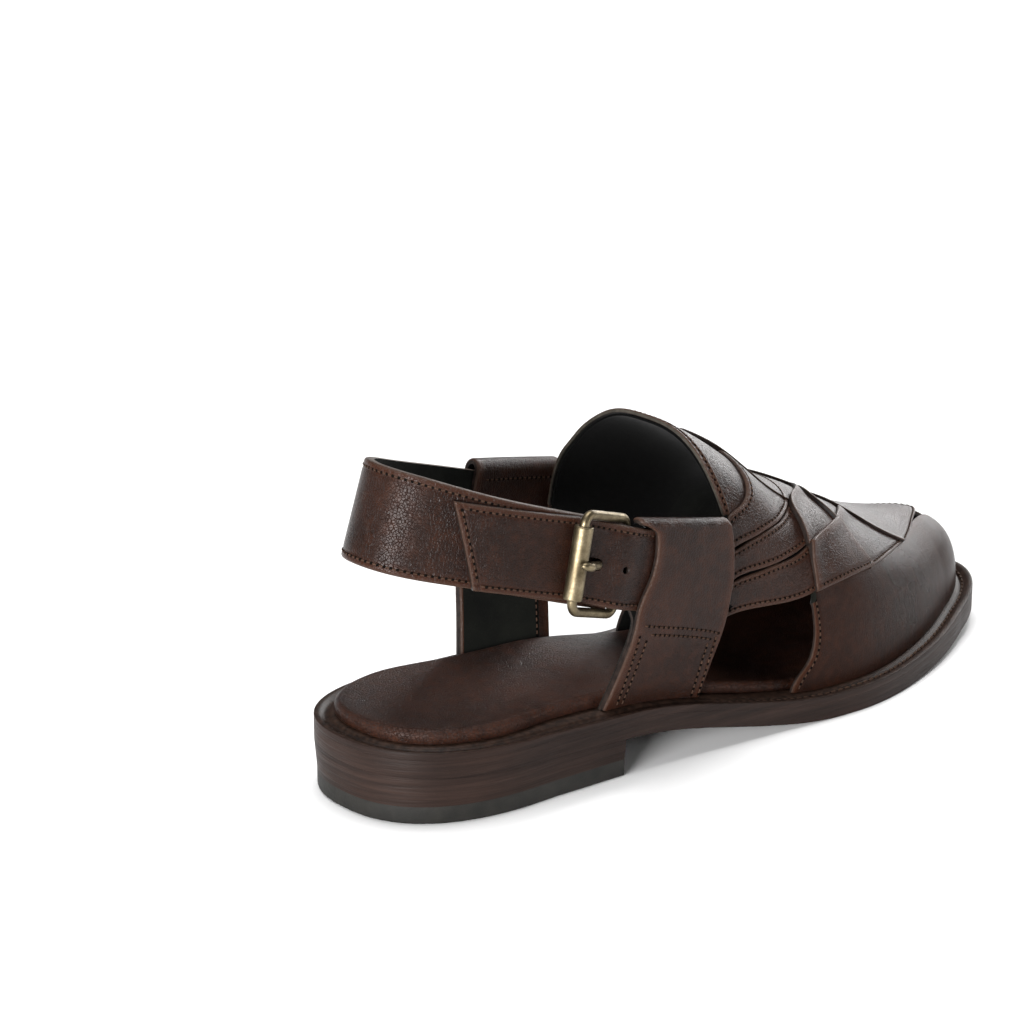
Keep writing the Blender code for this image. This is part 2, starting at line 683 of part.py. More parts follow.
def strap_rod(name, start, end, diameter, collection, finish=None, sides_count=16):
    """Round rod between two points given in the strap's own directions."""
    a = np.array(strap_point(np.float64(start[0]), start[1], start[2]))
    b = np.array(strap_point(np.float64(end[0]), end[1], end[2]))
    axis = (b - a) / np.linalg.norm(b - a)
    helper = np.array([0, 1, 0]) if abs(axis[1]) < 0.9 else np.array([1, 0, 0])
    u = np.cross(axis, helper)
    u /= np.linalg.norm(u)
    v = np.cross(axis, u)
    angle = np.arange(sides_count) / sides_count * 2 * math.pi
    ring = (np.cos(angle)[:, None] * u + np.sin(angle)[:, None] * v) * diameter / 2
    points = np.concatenate([a + ring, b + ring])
    n = sides_count
    faces = [(k, (k + 1) % n, n + (k + 1) % n, n + k) for k in range(n)]
    faces += [tuple(range(n))[::-1], tuple(range(n, 2 * n))]
    return add_mesh(name, points, faces, collection, finish)


def bar_line(offset):
    """Plan point on the outer side of the bend at the buckle's bar."""
    return bend_line(np.array([BAR_AT]), offset, -1)[0]


def build_heel_strap(parts, cutters, looks):
    bend = STRAP_BEND[0]
    outer_side = bend * (1 - np.cos(np.linspace(0, math.acos(1 - BAR_AT / bend), 15)))
    inner_side = bend * (1 - np.cos(np.linspace(0, math.acos(1 - STRAP_INNER_END / bend), 17)))[1:]
    outer = np.concatenate([bend_line(outer_side, 0, -1)[::-1], bend_line(inner_side, 0, 1)])
    inner = np.concatenate([bend_line(outer_side, -STRAP_THICKNESS, -1)[::-1],
                            bend_line(inner_side, -STRAP_THICKNESS, 1)])
    half = np.full(len(outer), STRAP_WIDTH / 2)
    strap = band_solid("heel_strap", outer, inner, -half, half, parts, looks["upper"])
    middle = bar_line(-STRAP_THICKNESS / 2)
    eye = WIRE_DIAMETER + 2 * GAP
    reach = CHAPE_WIDTH / 2
    long = reach + 0.001
    loop = strap_rod("chape_loop", (middle[0], middle[1], -long), (middle[0], middle[1], long),
                     eye + STRAP_THICKNESS, cutters)
    corners = []
    for side in (-1, 1):
        low, high = sorted((side * reach, side * STRAP_WIDTH))
        corners.append(strap_box("chape_corner_%d" % side, (ROLLER_AT, -0.06, low),
                                 (BAR_AT + 0.02, -0.01, high), cutters))
    hole = strap_rod("chape_eye", (middle[0], middle[1], -0.03), (middle[0], middle[1], 0.03), eye, cutters)
    slot = PRONG_DIAMETER / 2 + GAP
    opening = strap_box("chape_slot", (prong_hole() - 0.0030, -0.06, -slot), (BAR_AT + 0.02, -0.01, slot), cutters)
    cut(strap, [loop], "UNION")
    cut(strap, [hole] + corners + [opening])


def tail_offset(places):
    """Inner face of the tail strap above the heel strap: it lifts over the chape's loop."""
    loop = (WIRE_DIAMETER + 2 * GAP + STRAP_THICKNESS) / 2 - STRAP_THICKNESS / 2
    lift = loop * np.exp(-((places - BAR_AT) / 0.0065) ** 2)
    return GAP + np.maximum(lift, 0) * 1.15


def build_tail_strap(parts, cutters, looks):
    places = np.linspace(TAIL_TIP_TOP, TAIL_END, 36)
    share = np.clip((places - TAIL_TIP_TOP) / (TAIL_TIP_BOTTOM - TAIL_TIP_TOP), 0, 1)
    inner = bend_line(places, tail_offset(places), -1)
    outer = bend_line(places, tail_offset(places) + TAIL_THICKNESS, -1)
    high = np.full(len(places), TAIL_WIDTH / 2)
    low = high - TAIL_WIDTH * np.maximum(share, 0.02)
    strap = band_solid("tail_strap", outer, inner, low, high, parts, looks["upper"])
    holes = []
    for k in range(3):
        place = np.array([prong_hole() + k * HOLE_PITCH])
        near = bend_line(place, -0.004, -1)[0]
        far = bend_line(place, 0.012, -1)[0]
        size = HOLE_DIAMETER if k else PRONG_DIAMETER + 4 * GAP
        holes.append(strap_rod("hole_%d" % k, (near[0], near[1], 0), (far[0], far[1], 0), size, cutters, sides_count=12))
    cut(strap, holes)


def prong_hole():
    return ROLLER_AT + ROLLER_DIAMETER / 2 + 0.0052


def roller_middle():
    offset = GAP + TAIL_THICKNESS + GAP + ROLLER_DIAMETER / 2
    return bend_line(np.array([ROLLER_AT]), offset, -1)[0]


def wire(name, path, diameter, collection, closed):
    curve = bpy.data.curves.new(name, "CURVE")
    curve.dimensions = "3D"
    curve.bevel_depth = diameter / 2
    curve.bevel_resolution = 2
    curve.use_fill_caps = True
    spline = curve.splines.new("POLY")
    spline.points.add(len(path) - 1)
    for point, place in zip(spline.points, path):
        point.co = (*place, 1)
    spline.use_cyclic_u = closed
    made = bpy.data.objects.new(name, curve)
    collection.objects.link(made)
    return made


def meshed(item, collection):
    """Mesh object made from a curve, its caps welded; the curve is removed."""
    name = item.name
    mesh = bpy.data.meshes.new_from_object(item.evaluated_get(bpy.context.evaluated_depsgraph_get()))
    bpy.data.objects.remove(item)
    work = bmesh.new()
    work.from_mesh(mesh)
    bmesh.ops.remove_doubles(work, verts=work.verts, dist=2e-6)
    work.to_mesh(mesh)
    work.free()
    made = bpy.data.objects.new(name, mesh)
    collection.objects.link(made)
    return made


def build_buckle(parts, cutters, looks):
    half = TAIL_WIDTH / 2 + BUCKLE_CLEARANCE + WIRE_DIAMETER / 2
    roller = roller_middle()
    bar = bar_line(-STRAP_THICKNESS / 2)
    corner = 0.0035
    along = bar - roller
    size = np.linalg.norm(along)
    centres = [(corner, half - corner, 90), (corner, -half + corner, 180),
               (size - corner, -half + corner, 270), (size - corner, half - corner, 0)]
    path = []
    for place, up, start in centres:
        for turn in np.radians(np.linspace(start, start + 90, 5)):
            spot = roller + along / size * (place + corner * math.cos(turn))
            path.append(strap_point(np.float64(spot[0]), spot[1], up + corner * math.sin(turn)))
    frame = wire("buckle_frame", path, WIRE_DIAMETER, parts, True)
    frame.data.materials.append(looks["brass"])
    length = half - corner - GAP
    tube = strap_rod("buckle_roller", (*roller, -length), (*roller, length), ROLLER_DIAMETER, parts, looks["brass"], 20)
    bore = strap_rod("roller_bore", (*roller, -0.03), (*roller, 0.03), WIRE_DIAMETER + 2 * GAP, cutters)
    cut(tube, [bore])
    build_prong(parts, cutters, looks, roller, bar)


def build_prong(parts, cutters, looks, roller, bar):
    """Eye on the bar, a shank under the tail strap, up through its hole, over the roller."""
    eye = WIRE_DIAMETER + 2 * GAP
    thick = PRONG_DIAMETER - 0.0004
    body = strap_rod("buckle_prong", (*bar, -PRONG_DIAMETER / 2), (*bar, PRONG_DIAMETER / 2),
                     eye + 2 * PRONG_EYE_WALL, parts, looks["brass"])
    rest = ROLLER_DIAMETER / 2 + GAP + thick / 2
    knots = [(BAR_AT - eye / 2, -STRAP_THICKNESS / 2), (prong_hole() + 0.0022, -STRAP_THICKNESS / 2),
             (prong_hole() + 0.0004, 0.0), (prong_hole(), TAIL_THICKNESS), (prong_hole() - 0.0012, 0.0045)]
    line = [bend_line(np.array([place]), offset, -1)[0] for place, offset in knots]
    for turn in np.radians((20, 50, 80, 95)):
        line.append(roller + rest * np.array([math.cos(turn), -math.sin(turn)]))
    line = np.array(line)
    reach = np.concatenate([[0], np.cumsum(np.linalg.norm(np.diff(line, axis=0), axis=1))])
    places = np.linspace(0, reach[-1], 22)
    p, y = (curve_through(reach, line[:, k])(places) for k in (0, 1))
    shank = wire("prong_shank", strap_point(p, y, 0.0), thick, cutters, False)
    cut(body, [meshed(shank, cutters)], "UNION")
    cut(body, [strap_rod("prong_eye", (*bar, -0.01), (*bar, 0.01), eye, cutters)])


def main():
    clear_scene()
    parts = new_collection("peshawari_chappal")
    cutters = new_collection("cutters")
    looks = {
        "upper": material("brown_leather", (0.055, 0.028, 0.020), 0.42),
        "lining": material("insole_leather", (0.060, 0.034, 0.026), 0.50),
        "sole": material("stained_edge", (0.035, 0.024, 0.020), 0.60),
        "rubber": material("black_rubber", (0.015, 0.014, 0.013), 0.75),
        "brass": material("antique_brass", (0.270, 0.200, 0.110), 0.38, 1.0),
    }
    build_sole(parts, looks)
    build_insole(parts, looks)
    build_upper(parts, cutters, looks)
    for name, size in EAR_SIZES.items():
        build_ear(name, size, parts, looks)
    build_heel_strap(parts, cutters, looks)
    build_tail_strap(parts, cutters, looks)
    build_buckle(parts, cutters, looks)


main()
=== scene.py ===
"""Looks of a peshawari chappal, right shoe. Metres, +X to the toe, +Y to the inner side of
the foot, +Z up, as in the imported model. Every leather piece is a grid of points on the last,
the strap's ring or the ear's fold, given a wall, rounded edges and sewn rows."""

import math

import bmesh
import bpy
import numpy as np
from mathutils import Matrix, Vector


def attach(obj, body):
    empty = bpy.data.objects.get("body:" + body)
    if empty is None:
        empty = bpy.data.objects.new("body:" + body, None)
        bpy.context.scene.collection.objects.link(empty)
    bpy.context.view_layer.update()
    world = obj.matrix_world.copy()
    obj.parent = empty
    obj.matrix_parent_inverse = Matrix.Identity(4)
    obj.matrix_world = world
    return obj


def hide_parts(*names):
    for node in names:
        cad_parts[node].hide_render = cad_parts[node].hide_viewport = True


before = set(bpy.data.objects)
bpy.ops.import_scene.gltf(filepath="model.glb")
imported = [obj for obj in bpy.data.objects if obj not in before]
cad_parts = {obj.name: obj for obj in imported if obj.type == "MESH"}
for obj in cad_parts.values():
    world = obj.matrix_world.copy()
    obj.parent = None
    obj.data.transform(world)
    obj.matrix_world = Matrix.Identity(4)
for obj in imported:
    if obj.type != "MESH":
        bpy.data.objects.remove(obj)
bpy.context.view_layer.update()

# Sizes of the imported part
LENGTH = 0.292
BALL_WIDTH = 0.102
HEEL_WIDTH = 0.077
HEEL_SEAT = 0.040
HEEL_LENGTH = 0.086
SEAT_HEIGHT_REAR = 0.0165
SEAT_HEIGHT_FRONT = 0.0130
TOE_SPRING = 0.0068
TOE_SWING = 0.0058
TREAD_START = 0.176
TREAD_END = 0.200
TOP_LIFT = 0.0060
OUTSOLE = 0.0057
WELT = 0.0026
HEEL_TAPER = 0.0008
GAP = 0.0003
FEATHER_INSET = 0.0062
INSOLE_HEEL_INSET = 0.0066
INSOLE_HEIGHT = 0.0046
THROAT_HEIGHT = 0.0900
EAR_LEAF = 0.0018
EAR_FOOT_INSET = 0.0062
STRAP_SLOPE = math.radians(18.6)
STRAP_REAR = -0.0284
STRAP_REAR_HEIGHT = 0.0963
STRAP_HALF_SPAN = 0.0369
STRAP_BEND = (0.110, 2.19)
STRAP_WIDTH = 0.0290
STRAP_THICKNESS = 0.0030
STRAP_INNER_END = 0.1080
TAIL_WIDTH = 0.0270
TAIL_THICKNESS = 0.0022
TAIL_TIP_TOP = 0.0152
TAIL_TIP_BOTTOM = 0.0270
TAIL_END = 0.1080
HOLE_DIAMETER = 0.0026
HOLE_PITCH = 0.0132
WIRE_DIAMETER = 0.0032
ROLLER_DIAMETER = 0.0062
ROLLER_AT = 0.0560
BAR_AT = 0.0780
BUCKLE_CLEARANCE = 0.0006
CHAPE_WIDTH = 0.0250
PRONG_DIAMETER = 0.0028
HEEL_CURVE = (0.18, 2.39)
TOE_CURVE = (0.37, 2.04)
NOSE_CURVE = (0.024, 2.5)

# Looks that the solids leave out: the buckle stands askew, the outer ear's fold and the heel
# strap's rear widen a little, and needles have left holes between the threads, drawn as near-black marks
# of painted shade
BUCKLE_LEAN = 0.12
EAR_FLARE = 0.0055
BAND_SWELL = 0.0016
BAND_SWELL_REACH = 0.022
PITCH = 0.0022
WELT_PITCH = 0.0030
WELT_THREAD = 1.9
THREAD_LENGTH = 0.00150
THREAD_WIDTH = 0.00055
THREAD_HEIGHT = 0.00024
NEEDLE_HOLE = 0.00125
STITCH_INSET = 0.0024
CELL_STITCH_INSET = 0.0021
BAND_STITCH_INSET = 0.0026
TOE_STITCH_INSET = 0.0027
WELT_STITCH_INSET = 0.0038
WELT_SEWN_FROM = 0.085
SCORE_INSET = 0.0009
LIFT_REACH = 0.0042
BUCKLE_CORNER = 0.0035
SHARP_ANGLE = math.radians(50)

# Sole plan: share of the length, weight of the heel width, outer and inner half width
OUTLINE = np.array((
    (0.20, 1.00, 0.500, 0.500),
    (0.36, 0.60, 0.474, 0.428),
    (0.50, 0.25, 0.478, 0.428),
    (0.66, 0.00, 0.504, 0.510),
    (0.80, 0.00, 0.470, 0.488),
    (0.90, 0.00, 0.426, 0.424),
))
# Last: share of the length, ridge height, ridge shift, squareness of the section
LAST = np.array((
    (0.36, 1.000, 0.020, 3.0),
    (0.45, 0.990, 0.020, 3.0),
    (0.52, 0.897, 0.025, 2.9),
    (0.58, 0.765, 0.030, 2.7),
    (0.66, 0.650, 0.035, 2.5),
    (0.74, 0.516, 0.045, 2.4),
    (0.82, 0.404, 0.055, 2.35),
    (0.90, 0.325, 0.060, 2.3),
    (0.98, 0.260, 0.060, 2.3),
))
# Ears: share of the height, rear and front edge as shares of the width, how far the face
# has come out
OUTER_EAR = np.array((
    (0.00, 0.000, 1.000, 0.00),
    (0.20, 0.105, 1.090, 0.42),
    (0.40, 0.155, 1.155, 0.96),
    (0.55, 0.220, 1.215, 1.00),
    (0.70, 0.355, 1.255, 1.00),
    (0.85, 0.405, 1.245, 1.00),
    (1.00, 0.385, 1.205, 1.00),
))
INNER_EAR = np.array((
    (0.00, -0.160, 0.820, 0.00),
    (0.20, -0.100, 0.880, 0.45),
    (0.40, -0.040, 0.950, 0.95),
    (0.55, 0.000, 0.990, 1.00),
    (0.70, 0.000, 1.020, 1.00),
    (0.85, 0.020, 1.050, 1.00),
    (1.00, 0.080, 1.040, 1.00),
))
EAR_SIZES = {
    "ear_outer": dict(side=-1, rows=OUTER_EAR, foot=0.0420, width=0.0400, top=(0.0872, 0.0790),
                      slot=TAIL_THICKNESS + 0.0008, band=GAP + TAIL_THICKNESS / 2, flare=1,
                      suede=(1.0, 0.0, 1.01)),
    "ear_inner": dict(side=1, rows=INNER_EAR, foot=0.0400, width=0.0400, top=(0.0915, 0.0838),
                      slot=STRAP_THICKNESS + 0.0008, band=-STRAP_THICKNESS / 2, flare=0,
                      suede=(0.056, 0.03, 0.88)),
}
EAR_ROWS = 90
EAR_COLUMNS = 44
EAR_SUEDE_START = EAR_ROWS + 18
# Seams of the ears: two ends of each, as share of the height, share of the width and leaf
EAR_SEAMS = {
    "ear_outer": (((0.00, 0.120, 0), (0.43, 0.054, 0)), ((0.48, 0.075, 0), (0.389, 0.945, 0)),
                  ((0.389, 0.926, 0), (0.01, 0.976, 0)), ((0.00, 0.175, 0), (0.395, 0.146, 0)),
                  ((0.425, 0.146, 0), (0.352, 0.890, 0)), ((0.344, 0.860, 0), (0.01, 0.905, 0))),
    "ear_inner": (((0.956, 0.095, 1), (0.956, 0.854, 1)), ((0.93, 0.845, 1), (0.05, 0.845, 1))),
}

# Lines on the last: share of the length, share of the way round from the outer feather
# line (0) over the ridge (0.5). Those of the inner side mirror them, drawn further back.
# Each strap and cell of the plaited apron has a rear and a front line.
APRON_REAR = 0.595
INNER_TOE_EDGE = 0.012
INNER_STRETCH = 1.42
THROAT = ((0.466, 0.175), (0.465, 0.201), (0.458, 0.278), (0.452, 0.370), (0.446, 0.480),
          (0.438, 0.560), (0.430, 0.621), (0.4225, 0.656), (0.416, 0.681), (0.406, 0.724),
          (0.395, 0.760), (0.389, 0.800), (0.386, 0.860))
TONGUE_FRONT = ((0.452, 0.150), (0.478, 0.205), (0.503, 0.247), (0.520, 0.292), (0.528, 0.330),
                (0.531, 0.400), (0.531, 0.500))
FIRST_REAR = ((0.452, 0.172), (0.470, 0.205), (0.497, 0.245), (0.514, 0.288), (0.522, 0.330),
              (0.526, 0.400), (0.527, 0.500))
FIRST_FRONT = ((0.452, 0.135), (0.477, 0.158), (0.510, 0.191), (0.543, 0.237), (0.575, 0.298),
               (0.602, 0.356), (0.640, 0.500))
SECOND_REAR = ((0.452, 0.131), (0.480, 0.156), (0.524, 0.206), (0.553, 0.252), (0.590, 0.325),
               (0.612, 0.369))
SECOND_FRONT = ((0.452, 0.092), (0.474, 0.110), (0.526, 0.147), (0.573, 0.205), (0.594, 0.235),
                (0.612, 0.270))
THIRD_REAR = ((0.452, 0.091), (0.473, 0.106), (0.510, 0.131), (0.548, 0.168), (0.590, 0.223),
              (0.612, 0.258))
THIRD_FRONT = ((0.452, 0.056), (0.466, 0.062), (0.536, 0.092), (0.586, 0.130), (0.612, 0.152))
RIDGE_REAR = ((0.600, 0.358), (0.578, 0.378), (0.550, 0.408), (0.525, 0.448), (0.508, 0.500))
RIDGE_FRONT = ((0.612, 0.350), (0.652, 0.430), (0.690, 0.500))
ARCH_REAR = ((0.592, 0.232), (0.595, 0.285), (0.597, 0.335), (0.612, 0.376), (0.650, 0.432),
             (0.690, 0.500))
ARCH_FRONT = ((0.598, 0.237), (0.636, 0.280), (0.676, 0.333), (0.697, 0.380), (0.707, 0.440),
              (0.712, 0.500))
CENTRE_REAR = ((0.672, 0.327), (0.664, 0.400), (0.694, 0.500))
CENTRE_FRONT = ((0.681, 0.331), (0.700, 0.368), (0.718, 0.400), (0.732, 0.440), (0.738, 0.500))
SIDE_REAR = ((0.699, 0.199), (0.684, 0.267), (0.673, 0.334))
SIDE_FRONT = ((0.813, 0.293), (0.765, 0.350), (0.723, 0.415))
REAR_REAR = ((0.590, 0.134), (0.592, 0.190), (0.596, 0.240))
REAR_FRONT = ((0.706, 0.207), (0.688, 0.267), (0.678, 0.336))
FRONT_REAR = ((0.808, 0.288), (0.757, 0.350), (0.735, 0.420), (0.731, 0.500))
FRONT_FRONT = ((0.816, 0.296), (0.845, 0.331), (0.876, 0.380), (0.908, 0.445), (0.924, 0.500))
SEAM = ((0.588, 0.131), (0.631, 0.163), (0.696, 0.201), (0.760, 0.250), (0.815, 0.295),
        (0.845, 0.331), (0.876, 0.380), (0.908, 0.445), (0.924, 0.500))
TOE_EDGE = ((0.588, 0.131), (0.588, 0.078), (0.579, 0.026), (0.553, 0.000))
THROAT_LINING_REAR = ((0.453, 0.066), (0.459, 0.120)) + THROAT + ((0.388, 0.930),)
THROAT_LINING_FRONT = ((0.456, 0.070), (0.536, 0.102), (0.584, 0.138), (0.600, 0.190),
                       (0.612, 0.280), (0.640, 0.400), (0.650, 0.500))
APRON_LINING_REAR = ((0.592, 0.139), (0.596, 0.220), (0.600, 0.300), (0.640, 0.400), (0.640, 0.500))
APRON_LINING_FRONT = ((0.594, 0.141), (0.705, 0.212), (0.815, 0.303), (0.872, 0.390), (0.914, 0.500))
# Points inside the foot's room, from which faces are turned outwards
INSIDE = (0.120, 0.002, 0.030)
INSIDE_TOE = (0.180, 0.005, 0.025)
HEEL_MIDDLE = (0.030, 0.0, 0.080)


def ends(count):
    """Shares from 0 to 1, closer together towards both ends: a half turn of a cosine."""
    return (1 - np.cos(np.linspace(0, math.pi, count))) / 2


def ease(share):
    """Smooth step: three times the square less twice the cube."""
    share = np.clip(share, 0, 1)
    return share * share * (3 - 2 * share)


def curve_through(places, values):
    """Smooth function through the values: cubic pieces whose slope at each place is the mean
    of its neighbours' slopes, zero where those change sign."""
    places = np.asarray(places, float)
    values = np.asarray(values, float)
    steps = np.diff(values) / np.diff(places)
    slopes = np.concatenate(([steps[0]], (steps[:-1] + steps[1:]) / 2, [steps[-1]]))
    slopes[1:-1][steps[:-1] * steps[1:] <= 0] = 0

    def value(place):
        place = np.clip(place, places[0], places[-1])
        i = np.clip(np.searchsorted(places, place, side="right") - 1, 0, len(places) - 2)
        span = places[i + 1] - places[i]
        t = (place - places[i]) / span
        return ((1 + 2 * t) * (1 - t) ** 2 * values[i] + t * (1 - t) ** 2 * span * slopes[i]
                + t * t * (3 - 2 * t) * values[i + 1] + t * t * (t - 1) * span * slopes[i + 1])

    return value


def length_along(line):
    """Length of a line's chords from its first point up to each of its points."""
    return np.concatenate([[0], np.cumsum(np.linalg.norm(np.diff(line, axis=0), axis=1))])


def read_at(places, reach, values):
    """Points read from rows of values at places along the length, by straight lines."""
    return np.stack([np.interp(places, reach, values[:, k]) for k in range(values.shape[1])], axis=1)


def even_line(line, shares):
    """The same line, read at shares of its length."""
    reach = length_along(line)
    return read_at(shares * reach[-1], reach, line)


def smooth_line(points, shares):
    """Cubic line through the points, read at shares of its chords' length."""
    points = np.array(points, float)
    reach = length_along(points)
    return np.stack([curve_through(reach, points[:, k])(shares * reach[-1])
                     for k in range(points.shape[1])], axis=1)


def round_end(distance, size, power):
    """Width factor of a rounded end: a superellipse over the end's own length."""
    fall = np.clip(1 - distance / size, 0, 1)
    return (1 - fall ** power) ** (1 / power)


blend_width = HEEL_WIDTH * OUTLINE[:, 1] + BALL_WIDTH * (1 - OUTLINE[:, 1])
outer_half = curve_through(OUTLINE[:, 0], blend_width * OUTLINE[:, 2])
inner_half = curve_through(OUTLINE[:, 0], blend_width * OUTLINE[:, 3])
ridge_height = curve_through(LAST[:, 0], THROAT_HEIGHT * LAST[:, 1])
ridge_shift = curve_through(LAST[:, 0], BALL_WIDTH * LAST[:, 2])
squareness = curve_through(LAST[:, 0], LAST[:, 3])


def sides(count, last=1.0, inset=0.0):
    """Outer and inner edge of the sole's plan: half widths either side of a swung middle
    line, times the two rounded ends, moved in along the edge's normal by the inset."""
    along = (1 - np.cos(np.linspace(0, math.acos(1 - 2 * last), count + 1))) / 2
    rounded = round_end(along, *HEEL_CURVE) * round_end(1 - along, *TOE_CURVE)
    swing = TOE_SWING * np.clip((along - HEEL_CURVE[0]) / (1 - HEEL_CURVE[0]), 0, 1) ** 2
    edges = []
    for side, half in ((-1, outer_half), (1, inner_half)):
        edge = np.stack([along * LENGTH - HEEL_SEAT, side * half(along) * rounded + swing], axis=1)
        slope = np.gradient(edge, axis=0)
        normal = np.stack([side * -slope[:, 1], side * slope[:, 0]], axis=1)
        normal /= np.linalg.norm(normal, axis=1, keepdims=True)
        normal[0] = (-1, 0)
        if last == 1:
            normal[-1] = (1, 0)
        edges.append(edge - normal * np.reshape(inset, (-1, 1)))
    return edges


def underside(x):
    """Height of the sole's underside: over the heel, down the waist, flat, up to the toe."""
    along = x + HEEL_SEAT
    seat = SEAT_HEIGHT_REAR + (SEAT_HEIGHT_FRONT - SEAT_HEIGHT_REAR) * np.clip(along / HEEL_LENGTH, 0, 1)
    waist = 1 - ease((along - HEEL_LENGTH) / (TREAD_START - HEEL_LENGTH))
    spring = TOE_SPRING * np.clip((along - TREAD_END) / (LENGTH - TREAD_END), 0, 1) ** 1.8
    return seat * waist + spring


def welt_top(x):
    """Height of the welt's upper face: the outsole, a glue gap and the welt."""
    return underside(x) + OUTSOLE + GAP + WELT


FEATHER = sides(3000, inset=FEATHER_INSET)
TIP = FEATHER[0][-1, 0]


def last_surface(along, around):
    """Point on the last: each section is a superellipse from the feather line up to the
    ridge, its height rounded off towards the toe's tip."""
    x = np.minimum(along * LENGTH - HEEL_SEAT, TIP)
    low = np.interp(x, FEATHER[0][:, 0], FEATHER[0][:, 1])
    high = np.interp(x, FEATHER[1][:, 0], FEATHER[1][:, 1])
    angle = around * math.pi
    power = 2 / squareness(along)
    ridge = np.clip(ridge_shift(along), low, high)
    reach = np.abs(np.cos(angle)) ** power
    y = np.where(around < 0.5, ridge - (ridge - low) * reach, ridge + (high - ridge) * reach)
    rise = ridge_height(along) * round_end(TIP - x, *NOSE_CURVE) * np.abs(np.sin(angle)) ** power
    return np.stack([x, y, welt_top(x) + GAP + rise], axis=-1)


def half_plan(x, side):
    """Ridge line and the way from it to the feather line on one side, at a place along X."""
    low = np.interp(x, FEATHER[0][:, 0], FEATHER[0][:, 1])
    high = np.interp(x, FEATHER[1][:, 0], FEATHER[1][:, 1])
    ridge = np.clip(ridge_shift((x + HEEL_SEAT) / LENGTH), low, high)
    return ridge, np.where(side < 0, ridge - low, high - ridge)


def roof(x, rise_share, side):
    """Point of the last at a place along X and a share of the plan's way in from the feather
    line (0) to the ridge (1): the same superellipse as the section's."""
    along = (x + HEEL_SEAT) / LENGTH
    ridge, half = half_plan(x, side)
    power = squareness(along)
    rise = ridge_height(along) * round_end(np.maximum(TIP - x, 0), *NOSE_CURVE)
    z = welt_top(x) + GAP + rise * (1 - (1 - rise_share) ** power) ** (1 / power)
    return np.stack([x, ridge + side * half * (1 - rise_share), z], axis=-1)


def over_ridge(line):
    """A line that crosses the ridge: its outer half, then its mirror, which is drawn back
    behind the apron more and more as it goes down the inner side."""
    other = line[-2::-1] * (1, -1) + (0, 1)
    return np.concatenate([line, drawn_back(other)])


def drawn_back(line):
    """Stretch a line backwards from the apron's rear, by a smooth step of the way round."""
    line = line.copy()
    weight = ease((line[:, 1] - 0.5) / 0.25)
    line[:, 0] += np.minimum(line[:, 0] - APRON_REAR, 0) * (INNER_STRETCH - 1) * weight
    return line


def inner_side(line):
    """Mirror of a line of the outer side, drawn back."""
    return drawn_back(line * (1, -1) + (0, 1))


# Meshes
def outward(surface, inside):
    """Unit normals of a grid from its two directions, turned away from the inside point."""
    normal = np.cross(np.gradient(surface, axis=0), np.gradient(surface, axis=1))
    size = np.linalg.norm(normal, axis=2, keepdims=True)
    normal /= np.maximum(size, 1e-15)
    if np.sum(normal * (surface - np.asarray(inside))) < 0:
        normal = -normal
    return normal


def reach_along(surface, axis):
    """Length from the first row of the grid along each of its lines."""
    steps = np.linalg.norm(np.diff(surface, axis=axis), axis=2)
    start = np.zeros((1, steps.shape[1])) if axis == 0 else np.zeros((steps.shape[0], 1))
    return np.concatenate([start, np.cumsum(steps, axis=axis)], axis=axis)


def border_distance(surface, free):
    """Distance of each grid point from the nearest free border: f and l are the first and
    last row, a and z the first and last column."""
    rows = reach_along(surface, 0)
    columns = reach_along(surface, 1)
    every = {"f": rows, "l": rows[-1:] - rows, "a": columns, "z": columns[:, -1:] - columns}
    return np.minimum.reduce([every[side] for side in free] + [np.full(rows.shape, 1.0)])


def mesh_object(name, points, faces, looks, kinds=None, edge=None):
    """Object from quads given as an array, with a look per face and an edge attribute."""
    mesh = bpy.data.meshes.new(name)
    mesh.vertices.add(len(points))
    mesh.vertices.foreach_set("co", np.asarray(points, np.float32).ravel())
    mesh.loops.add(faces.size)
    mesh.loops.foreach_set("vertex_index", faces.astype(np.int32).ravel())
    mesh.polygons.add(len(faces))
    mesh.polygons.foreach_set("loop_start", np.arange(0, faces.size, faces.shape[1], dtype=np.int32))
    for look in looks:
        mesh.materials.append(look)
    if kinds is not None:
        mesh.polygons.foreach_set("material_index", np.asarray(kinds, np.int32))
    if edge is not None:
        field = mesh.attributes.new("edge", "FLOAT", "POINT")
        field.data.foreach_set("value", np.asarray(edge, np.float32))
    mesh.update(calc_edges=True)
    mesh.validate()
    return finished(mesh)


def placed(name, content):
    """Object put in the scene, at the origin and unturned."""
    made = bpy.data.objects.new(name, content)
    bpy.context.scene.collection.objects.link(made)
    return made


def finished(mesh):
    """Object of a mesh with smooth faces and sharp corners, riding on the one body."""
    mesh.shade_smooth()
    mesh.set_sharp_from_angle(angle=SHARP_ANGLE)
    made = placed(mesh.name, mesh)
    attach(made, "root")
    return made


def grid_quads(rows, columns):
    """Quads of a grid of points that are counted row by row."""
    i, j = np.meshgrid(np.arange(rows - 1), np.arange(columns - 1), indexing="ij")
    a = i * columns + j
    return np.stack([a, a + 1, a + columns + 1, a + columns], axis=-1).reshape(-1, 4)


def rim_of(rows, columns):
    """Points of a grid's border, once round."""
    first = np.arange(columns - 1)
    right = np.arange(rows - 1) * columns + columns - 1
    back = (rows - 1) * columns + np.arange(columns - 1, 0, -1)
    left = np.arange(rows - 1, 0, -1) * columns
    return np.concatenate([first, right, back, left])


